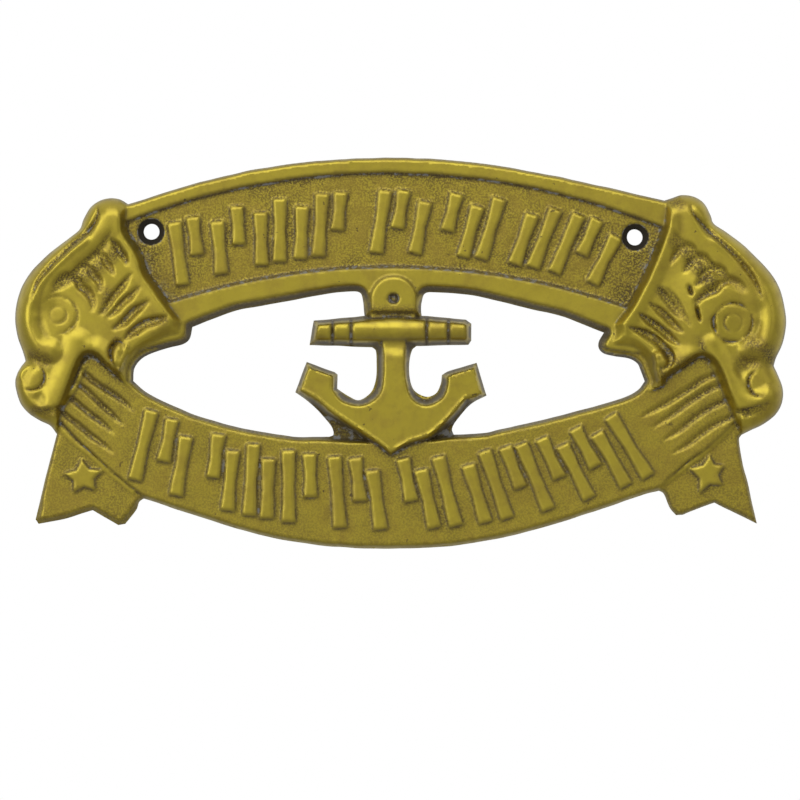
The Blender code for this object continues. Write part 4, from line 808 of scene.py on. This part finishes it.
def gaussian(grid, sigma):
    """A grid blurred by sigma cells."""
    reach = max(1, math.ceil(3 * sigma))
    kernel = np.exp(-0.5 * (np.arange(-reach, reach + 1) / sigma) ** 2)
    kernel /= kernel.sum()
    padded = np.pad(grid, ((reach, reach), (0, 0)), mode="edge")
    grid = sum(k * padded[i:i + grid.shape[0]] for i, k in enumerate(kernel))
    padded = np.pad(grid, ((0, 0), (reach, reach)), mode="edge")
    return sum(k * padded[:, i:i + grid.shape[1]] for i, k in enumerate(kernel))


def clouds(shape, wavelength, seed):
    """Smooth noise between about -1 and 1 with a wavelength in millimetres."""
    noise = gaussian(np.random.default_rng(seed).standard_normal(shape), wavelength / CELL / 4)
    return noise / (2 * noise.std())


def uneven(shape, layers):
    """Some layers of smooth noise, each with its wavelength, seed and height."""
    return sum(clouds(shape, wavelength, seed) * height for wavelength, seed, height in layers)


def smooth_step(value, low, high):
    """0 below the low value, 1 above the high one and smooth between them."""
    t = np.clip((value - low) / (high - low), 0, 1)
    return t * t * (3 - 2 * t)


class Raster:
    """A grid over the plan, with the heights and the masks that the metal's finish reads."""

    def __init__(self, loops):
        low, high = loops[0].min(axis=0) - MARGIN, loops[0].max(axis=0) + MARGIN
        self.columns = np.arange(low[0], high[0], CELL)
        self.rows = np.arange(low[1], high[1], CELL)
        x, z = np.meshgrid(self.columns, self.rows)
        self.plan = np.column_stack([x.ravel(), z.ravel()])
        self.shape = x.shape
        grids = [grid.reshape(self.shape) for grid in relief(self.plan, loops)]
        sharp, ground, heads, dark, worn = grids
        self.cover = covered(self.plan, loops).reshape(self.shape)
        # Beside the casting counts as low, so that its outer edges aren't hollows
        fallen = np.where(self.cover, sharp, OFF_THE_EDGE)
        self.form = gaussian(sharp, SOFTEN / CELL)
        self.ground = gaussian(ground, 0.35 / CELL)
        grain, handwork = uneven(self.shape, GRAIN), uneven(self.shape, HANDWORK)
        self.height = self.form + grain * self.ground + handwork
        # Raw skin is left on steep walls, less so on the up-facing walls on top of the arch and on the
        # outer edges around the tails: those are left bare as a painted sheen, for the light that falls
        # on them
        slope = np.hypot(*np.gradient(gaussian(sharp, 0.3 / CELL), CELL))
        low_part = smooth_step(-self.form, -4.4, -3.0)
        falling = smooth_step(-np.gradient(gaussian(sharp, 0.3 / CELL), CELL)[0], 0.4, 1.0)
        outer = near(closed(loops[0]), x.ravel(), z.ravel(), 3)[0].reshape(self.shape)
        skin_kept_from_light = 1 - 0.8 * falling * (z > 30 * UNIT) - 0.65 * (outer < 2) * (z < -17 * UNIT)
        walls = smooth_step(slope, 0.5, 1.1) * skin_kept_from_light
        self.skin = gaussian(np.where(heads > 0, low_part, walls), 0.25 / CELL)
        # Residue lies where the form is lower than around it, and crests are higher
        inland = smooth_step(gaussian(self.cover.astype(float), 3.0 / CELL), 0.80, 0.97)
        inner_wall = gaussian(heads * smooth_step(slope, 1.0, 2.0), 0.3 / CELL) * inland * 0.5
        thin_hollow = (gaussian(fallen, 0.5 / CELL) - self.form) / 0.34
        broad_hollow = (gaussian(fallen, 1.3 / CELL) - self.form) / 1.2
        settled = np.clip(np.maximum.reduce([thin_hollow, broad_hollow, inner_wall]), 0, 1)
        # The hollows also take relief()'s dark grid, with its dirt and its painted shade
        self.hollow = np.maximum(settled * (1 - 0.85 * worn), gaussian(dark, 0.15 / CELL))
        proud = np.clip((self.form - gaussian(self.form, 0.45 / CELL)) / 0.14, 0, 1)
        inward = smooth_step(self.form, 3.2, 4.2) * smooth_step(outer, 0.8, 1.6)
        self.crest = np.maximum(proud * inward, worn)

    def at(self, grid, plan):
        """The grid's value at each point of the plan."""
        i = np.clip((plan[:, 0] - self.columns[0]) / CELL, 0, self.shape[1] - 1.001)
        j = np.clip((plan[:, 1] - self.rows[0]) / CELL, 0, self.shape[0] - 1.001)
        i0, j0 = i.astype(int), j.astype(int)
        u, v = i - i0, j - j0
        below = grid[j0, i0] * (1 - u) + grid[j0, i0 + 1] * u
        above = grid[j0 + 1, i0] * (1 - u) + grid[j0 + 1, i0 + 1] * u
        return below * (1 - v) + above * v

    def spots(self):
        """Points of the plan, close together where the form bends and far apart where it is plain."""
        bend = np.abs(gaussian(self.form, 0.3 / CELL) - gaussian(self.form, 0.75 / CELL))
        bend = np.maximum.reduce([np.roll(bend, step, (0, 1)) for step in AROUND])
        j, i = np.indices(self.shape)
        chosen = (i % COARSE == 0) & (j % COARSE == 0)
        chosen |= (i % MIDDLE == 0) & (j % MIDDLE == 0) & (bend > BENDS_SOME)
        chosen |= (i % FINE == 0) & (j % FINE == 0) & (bend > BENDS_MUCH)
        return self.plan[(chosen & self.cover).ravel()]


def covered(plan, loops):
    """Which points lie on the casting."""
    x, z = plan[:, 0], plan[:, 1]
    hit = inside(loops[0], x, z)
    for loop in loops[1:]:
        hit &= ~inside(loop, x, z)
    return hit


def moved(line, distance):
    """A line moved to its left by a distance."""
    along = np.gradient(line, axis=0)
    left = np.column_stack([-along[:, 1], along[:, 0]]) / np.linalg.norm(along, axis=1)[:, None]
    return line + left * distance


def moved_in(loop, distance):
    """A closed loop moved inwards by a distance, without the points that come too near it."""
    area = np.sum(loop[:, 0] * np.roll(loop[:, 1], -1) - loop[:, 1] * np.roll(loop[:, 0], -1)) / 2
    ring = moved(np.vstack([loop[-1:], loop, loop[:1]]), distance * math.copysign(1, area))[1:-1]
    gap = near(closed(loop), ring[:, 0], ring[:, 1], abs(distance) * 2)[0]
    return ring[gap > abs(distance) * 0.97]


def arc_line(arc, drop):
    """Points along an arc, moved in by a drop."""
    crown, radius, lean = (value * UNIT for value in arc)
    x = np.arange(-80 * UNIT, 80 * UNIT, EDGE_STEP)
    rise = math.copysign(1, radius) * np.sqrt((radius - drop) ** 2 - (x - lean) ** 2)
    return np.column_stack([x, crown - radius + rise])


def even(loop):
    """The points of a straight-sided loop, close together."""
    return curve([(*point / UNIT, CORNER) for point in loop], EDGE_STEP, closed=True)


def edge_lines(loops):
    """Points along the edges of the forms, which the triangles follow."""
    level = [arc_line(FIELD_TOP, drop) for drop in (0, FEATURE_DRAFT)]
    level += [arc_line(FIELD_BOTTOM, drop) for drop in (0, -FEATURE_DRAFT)]
    for loop, side in ((loops[0], 1), (loops[1], -1), (loops[2], -1)):
        level += [moved_in(loop, side * draft) for draft in (TOP_DRAFT, ARCH_DRAFT, BANNER_DRAFT)]
    for end in (BANNER_END_LEFT, BANNER_END_RIGHT):
        ring = curve(end, EDGE_STEP, closed=True)
        level += [ring, moved_in(ring, BANNER_DRAFT)]
    level += [even(loop) for inset in (0, FEATURE_DRAFT) for loop in stroke_loops(inset)]
    level += [star_loop(tips) for tips in (STAR_LEFT, STAR_RIGHT)]
    free = np.vstack(level)
    for head in (LEFT_HEAD, RIGHT_HEAD):
        free = free[~inside(head_loop(head), free[:, 0], free[:, 1])]
    lines = [circle(hole, SINK_RADIUS, HOLE_SIDES) for hole in HOLES]
    lines += [circle(DIMPLE, radius, 24) for radius in (DIMPLE_RADIUS, DIMPLE_RADIUS / 2, LUG_RADIUS)]
    lines.append(curve(ANCHOR_FACE, EDGE_STEP, closed=True))
    lines.append(moved_in(curve(STOCK, EDGE_STEP, closed=True), STOCK_DRAFT))
    for head in (LEFT_HEAD, RIGHT_HEAD):
        for name, width in (("chin", CHIN_WIDTH), ("collar", COLLAR_WIDTH)):
            line = curve(head[name], EDGE_STEP)
            lines += [line, moved(line, width), moved(line, -width)]
        for points, *_ in head["cuts"]:
            line = curve(points, EDGE_STEP)
            lines += [line, moved(line, CUT_LIP)]
        for points, half, _ in head["grooves"]:
            line = curve(points, EDGE_STEP)
            lines += [line, moved(line, half), moved(line, -half)]
    for points, *_ in FLUTES:
        line = curve(points, EDGE_STEP)
        lines += [line, moved(line, CUT_LIP)]
    lines += [curve(points, EDGE_STEP) for points, *_ in LIPS]
    points = np.vstack([*lines, free])
    return points[covered(points, loops)]


def spread_out(fixed, groups):
    """The fixed points, then those of each group that keep a gap from all the points before them."""
    cells = {(int(x // POINT_GAP), int(z // POINT_GAP)): (x, z) for x, z in fixed.tolist()}
    kept = fixed.tolist()
    for x, z in np.vstack(groups).tolist():
        i, j = int(x // POINT_GAP), int(z // POINT_GAP)
        by = [cells[i + di, j + dj] for di, dj in AROUND if (i + di, j + dj) in cells]
        if all((x - px) ** 2 + (z - pz) ** 2 > POINT_GAP ** 2 for px, pz in by):
            cells[i, j] = (x, z)
            kept.append([x, z])
    return np.array(kept)


# The finish of the plain back
BACK_FINISH = dict(ground=0.4, skin=0.75, hollow=0.2, crest=0.0)


def cast_sign(loops, raster):
    """The casting as one closed mesh: relief in front, a rounded foot, and a flat back."""
    plan = spread_out(np.vstack(loops), [edge_lines(loops), raster.spots()])
    edges, first = [], 0
    for loop in loops:
        count = len(loop)
        edges += [(first + i, first + (i + 1) % count) for i in range(count)]
        first += count
    found = delaunay_2d_cdt([Vector(point) for point in plan], edges, [], 0, 1e-4, False)
    plan = np.array([tuple(point) for point in found[0]])
    faces = np.array(found[2])
    faces = faces[covered(plan[faces].mean(axis=1), loops)]
    a, b, c = plan[faces].transpose(1, 0, 2)
    turns = (b[:, 0] - a[:, 0]) * (c[:, 1] - a[:, 1]) - (c[:, 0] - a[:, 0]) * (b[:, 1] - a[:, 1])
    faces[turns < 0] = faces[turns < 0][:, ::-1]
    sides = {(face[i], face[(i + 1) % 3]) for face in faces.tolist() for i in range(3)}
    rim = [side for side in sides if side[::-1] not in sides]
    corners = sorted({corner for side in rim for corner in side})
    behind = {corner: len(plan) + i for i, corner in enumerate(corners)}
    heights = raster.at(raster.height, plan)
    heights[corners] = np.maximum(heights[corners], FOOT)
    sway = [clouds(raster.shape, WOBBLE_WAVELENGTH, seed) * WOBBLE for seed in WOBBLE_SEEDS]
    placed = plan + np.column_stack([raster.at(grid, plan) for grid in sway])
    front = np.column_stack([placed[:, 0], -heights, placed[:, 1]])
    back = np.column_stack([placed[corners][:, 0], np.zeros(len(corners)), placed[corners][:, 1]])
    walls = [(b, a, behind[a], behind[b]) for a, b in rim]
    local = {corner: i for i, corner in enumerate(corners)}
    found = delaunay_2d_cdt([Vector(plan[corner]) for corner in corners],
                            [(local[a], local[b]) for a, b in rim], [], 0, 1e-5, True)
    lid = np.array([[corners[found[3][i][0]] for i in face] for face in found[2]])
    lid = lid[covered(plan[lid].mean(axis=1), loops)]
    lids = [tuple(behind[corner] for corner in face[::-1]) for face in lid.tolist()]
    mesh = bpy.data.meshes.new("cast_sign")
    mesh.from_pydata(np.vstack([front, back]) * MM, [], faces.tolist() + walls + lids)
    for name, on_back in BACK_FINISH.items():
        on_front = raster.at(getattr(raster, name), plan)
        values = np.concatenate([on_front, np.full(len(corners), on_back)])
        mesh.attributes.new(name, "FLOAT", "POINT").data.foreach_set("value", values)
    mesh.shade_smooth()
    mesh.set_sharp_from_angle(angle=math.radians(60))
    casting = bpy.data.objects.new("cast_sign", mesh)
    bpy.context.collection.objects.link(casting)
    return casting


# Colours of the metal, as linear red, green and blue; the tarnish and patina colours also paint shade in
# some corners
POLISHED = (0.590, 0.470, 0.052)
DULLED = (0.400, 0.295, 0.045)
RAW_SKIN = (0.160, 0.134, 0.080)
TARNISH_AND_SHADE = (0.130, 0.092, 0.026)
PATINA_AND_SHADE = (0.024, 0.018, 0.009)
RESIDUE = (0.24, 0.25, 0.26)


class Nodes:
    """Places and joins the nodes of one tree."""

    def __init__(self, tree):
        self.tree = tree
        self.tree.nodes.clear()

    def add(self, kind, **settings):
        node = self.tree.nodes.new(kind)
        for name, value in settings.items():
            setattr(node, name, value)
        return node

    def join(self, source, target):
        self.tree.links.new(source, target)

    def math(self, operation, a, b=None, clamp=False):
        node = self.add("ShaderNodeMath", operation=operation, use_clamp=clamp)
        for place, value in zip(node.inputs, (a, b)):
            if isinstance(value, (int, float)):
                place.default_value = value
            elif value is not None:
                self.join(value, place)
        return node.outputs[0]

    def mixed(self, *terms):
        """The sum of some values, each times a number, held between 0 and 1."""
        total = 0.0
        for value, weight in terms:
            total = self.math("ADD", total, self.math("MULTIPLY", value, weight))
        return self.math("ADD", total, 0.0, clamp=True)

    def noise(self, scale, detail, roughness=0.5):
        place = self.add("ShaderNodeTexCoord").outputs["Object"]
        node = self.add("ShaderNodeTexNoise")
        self.join(place, node.inputs["Vector"])
        node.inputs["Scale"].default_value = scale
        node.inputs["Detail"].default_value = detail
        node.inputs["Roughness"].default_value = roughness
        return node.outputs["Fac"]

    def band(self, value, low, high):
        node = self.add("ShaderNodeMapRange", interpolation_type="SMOOTHSTEP")
        self.join(value, node.inputs["Value"])
        node.inputs["From Min"].default_value = low
        node.inputs["From Max"].default_value = high
        return node.outputs["Result"]

    def blend(self, share, a, b):
        node = self.add("ShaderNodeMix", data_type="RGBA")
        self.join(share, node.inputs["Factor"])
        for place, value in ((node.inputs["A"], a), (node.inputs["B"], b)):
            if isinstance(value, tuple):
                place.default_value = (*value, 1)
            else:
                self.join(value, place)
        return node.outputs["Result"]


def mask(nodes, name):
    """What the mesh says of one finish at each point."""
    return nodes.add("ShaderNodeAttribute", attribute_name=name).outputs["Fac"]


def brass_finish():
    """Sand-cast brass: polished high faces, brown grainy ground, raw walls, dark hollows with residue,
    and painted shade in some corners.
    """
    material = bpy.data.materials.new("cast_brass")
    material.use_nodes = True
    nodes = Nodes(material.node_tree)
    out = nodes.add("ShaderNodeOutputMaterial")
    shader = nodes.add("ShaderNodeBsdfPrincipled")
    nodes.join(shader.outputs["BSDF"], out.inputs["Surface"])
    ground, skin, hollow, crest = (mask(nodes, name) for name in ("ground", "skin", "hollow", "crest"))
    blotches = nodes.noise(80, 4, 0.6)
    mottling = nodes.noise(330, 4, 0.6)
    grit = nodes.noise(1650, 4, 0.65)
    pits = nodes.noise(450, 2, 0.5)
    unworn = nodes.math("SUBTRACT", 1.0, nodes.math("MULTIPLY", crest, 0.85))
    sandy = nodes.math("MULTIPLY", ground, nodes.band(grit, 0.56, 0.42))
    dull = nodes.mixed((ground, 0.25), (sandy, 0.55), (nodes.band(blotches, 0.42, 0.64), 0.40),
                       (nodes.band(mottling, 0.42, 0.66), 0.30))
    raw = nodes.math("MULTIPLY", nodes.math("MULTIPLY", skin, unworn), nodes.band(mottling, 0.05, 0.40))
    stained = nodes.math("MULTIPLY", ground, nodes.band(blotches, 0.54, 0.38))
    glint = nodes.math("MULTIPLY", ground, nodes.band(grit, 0.47, 0.58))
    pores = nodes.band(pits, 0.28, 0.24)
    # The hollow mask carries painted shade as well as dirt, so this share darkens both
    dirt_and_shade_share = nodes.mixed((hollow, 1.1), (sandy, 0.20), (stained, 0.42), (pores, 0.8))
    brown = nodes.math("MULTIPLY", dirt_and_shade_share, nodes.math("SUBTRACT", 1.0, nodes.math("MULTIPLY", glint, 0.8)))
    black = nodes.mixed((nodes.band(hollow, 0.55, 1.0), 0.40), (nodes.band(hollow, 1.05, 1.4), 0.60))
    metal = nodes.blend(dull, POLISHED, DULLED)
    metal = nodes.blend(raw, metal, RAW_SKIN)
    metal = nodes.blend(brown, metal, TARNISH_AND_SHADE)
    metal = nodes.blend(black, metal, PATINA_AND_SHADE)
    settled = nodes.math("MULTIPLY", nodes.band(hollow, 0.35, 0.8), nodes.band(hollow, 1.15, 1.02))
    ash = nodes.math("MULTIPLY", settled, nodes.band(nodes.noise(520, 3, 0.6), 0.48, 0.62))
    ash = nodes.math("MULTIPLY", ash, 0.70)
    metal = nodes.blend(ash, metal, RESIDUE)
    nodes.join(metal, shader.inputs["Base Color"])
    rough = nodes.mixed((dull, 0.10), (raw, 0.20), (brown, 0.14), (black, 0.2), (mottling, 0.10))
    nodes.join(nodes.math("ADD", rough, 0.29, clamp=True), shader.inputs["Roughness"])
    unmetal = nodes.mixed((brown, 0.20), (black, 0.5), (raw, 0.30), (ash, 0.5))
    nodes.join(nodes.math("SUBTRACT", 1.0, unmetal), shader.inputs["Metallic"])
    nodes.join(nodes.mixed((nodes.math("SUBTRACT", 1.0, black), 0.22)), shader.inputs["Coat Weight"])
    shader.inputs["Coat Roughness"].default_value = 0.30
    bump = nodes.add("ShaderNodeBump")
    bump.inputs["Strength"].default_value = 0.5
    bump.inputs["Distance"].default_value = 0.0002
    grainy = nodes.mixed((ground, 0.8), (raw, 0.5), (brown, 0.15))
    grains = nodes.math("MULTIPLY", nodes.math("ADD", grainy, 0.05), grit)
    nodes.join(nodes.math("ADD", grains, nodes.math("MULTIPLY", mottling, 0.12)), bump.inputs["Height"])
    nodes.join(bump.outputs["Normal"], shader.inputs["Normal"])
    return material


# Camera and light
VIEW_WIDTH = 0.240
VIEW_MIDDLE = (-0.00015, -0.01425)
CAMERA_DISTANCE = 1.6
SENSOR = 36.0


def light(name, place, size, power, target=(0, 0, 0)):
    """A square soft light that faces the sign."""
    lamp = bpy.data.lights.new(name, "AREA")
    lamp.energy = power
    lamp.size = size
    lamp_object = bpy.data.objects.new(name, lamp)
    lamp_object.location = place
    lamp_object.rotation_euler = (Vector(target) - Vector(place)).to_track_quat("-Z", "Y").to_euler()
    bpy.context.collection.objects.link(lamp_object)


def studio():
    """A pale floor, a surround that is white behind the sign and dim in front, and soft lights."""
    world = bpy.data.worlds.new("white_surround")
    world.use_nodes = True
    bpy.context.scene.world = world
    nodes = Nodes(world.node_tree)
    out = nodes.add("ShaderNodeOutputWorld")
    split = nodes.add("ShaderNodeSeparateXYZ")
    nodes.join(nodes.add("ShaderNodeTexCoord").outputs["Generated"], split.inputs["Vector"])
    rise = nodes.band(split.outputs["Z"], -0.5, 0.8)
    turn = nodes.band(split.outputs["X"], -0.18, 0.16)
    facing = nodes.band(split.outputs["Y"], -0.55, -0.98)
    lifted = nodes.math("MULTIPLY", split.outputs["Z"], 0.7)
    behind = nodes.band(nodes.math("ADD", split.outputs["Y"], lifted), 0.15, 0.7)
    lit = nodes.add("ShaderNodeBackground")
    around = nodes.blend(rise, (0.36, 0.36, 0.36), (0.42, 0.42, 0.42))
    ahead = nodes.blend(turn, (0.59, 0.59, 0.585), (0.375, 0.375, 0.37))
    front = nodes.blend(facing, around, ahead)
    nodes.join(nodes.blend(behind, front, (0.65, 0.65, 0.66)), lit.inputs["Color"])
    seen = nodes.add("ShaderNodeBackground")
    seen.inputs["Color"].default_value = (1, 1, 1, 1)
    pick = nodes.add("ShaderNodeMixShader")
    nodes.join(nodes.add("ShaderNodeLightPath").outputs["Is Camera Ray"], pick.inputs["Fac"])
    nodes.join(lit.outputs["Background"], pick.inputs[1])
    nodes.join(seen.outputs["Background"], pick.inputs[2])
    nodes.join(pick.outputs["Shader"], out.inputs["Surface"])
    light("key", (-0.1, -0.85, 0.85), 1.2, 5.5)
    light("left", (-0.9, -0.75, 0.2), 0.8, 2.4)
    light("right", (0.9, -0.8, 0.3), 0.8, 0.5)
    floor_mesh = bpy.data.meshes.new("floor")
    corners = [(-8, -8, -0.6), (8, -8, -0.6), (8, 5, -0.6), (-8, 5, -0.6)]
    floor_mesh.from_pydata(corners, [], [(0, 1, 2, 3)])
    floor = bpy.data.objects.new("floor", floor_mesh)
    bpy.context.collection.objects.link(floor)
    floor.visible_glossy = False
    pale = bpy.data.materials.new("pale_floor")
    pale.use_nodes = True
    pale.node_tree.nodes["Principled BSDF"].inputs["Base Color"].default_value = (0.82, 0.82, 0.81, 1)
    pale.node_tree.nodes["Principled BSDF"].inputs["Roughness"].default_value = 0.8
    floor_mesh.materials.append(pale)


def camera():
    """A long lens, square to the front as in the photograph."""
    data = bpy.data.cameras.new("camera")
    data.sensor_width = SENSOR
    data.lens = SENSOR * CAMERA_DISTANCE / VIEW_WIDTH
    camera_object = bpy.data.objects.new("camera", data)
    camera_object.location = (VIEW_MIDDLE[0], -CAMERA_DISTANCE, VIEW_MIDDLE[1])
    camera_object.rotation_euler = (math.radians(90), 0, 0)
    bpy.context.collection.objects.link(camera_object)
    bpy.context.scene.camera = camera_object


def main():
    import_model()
    loops = outline()
    casting = cast_sign(loops, Raster(loops))
    casting.data.materials.append(brass_finish())
    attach(casting, "root")
    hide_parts("sign_plaque")
    studio()
    camera()
    bpy.context.scene.view_settings.view_transform = "Standard"


main()
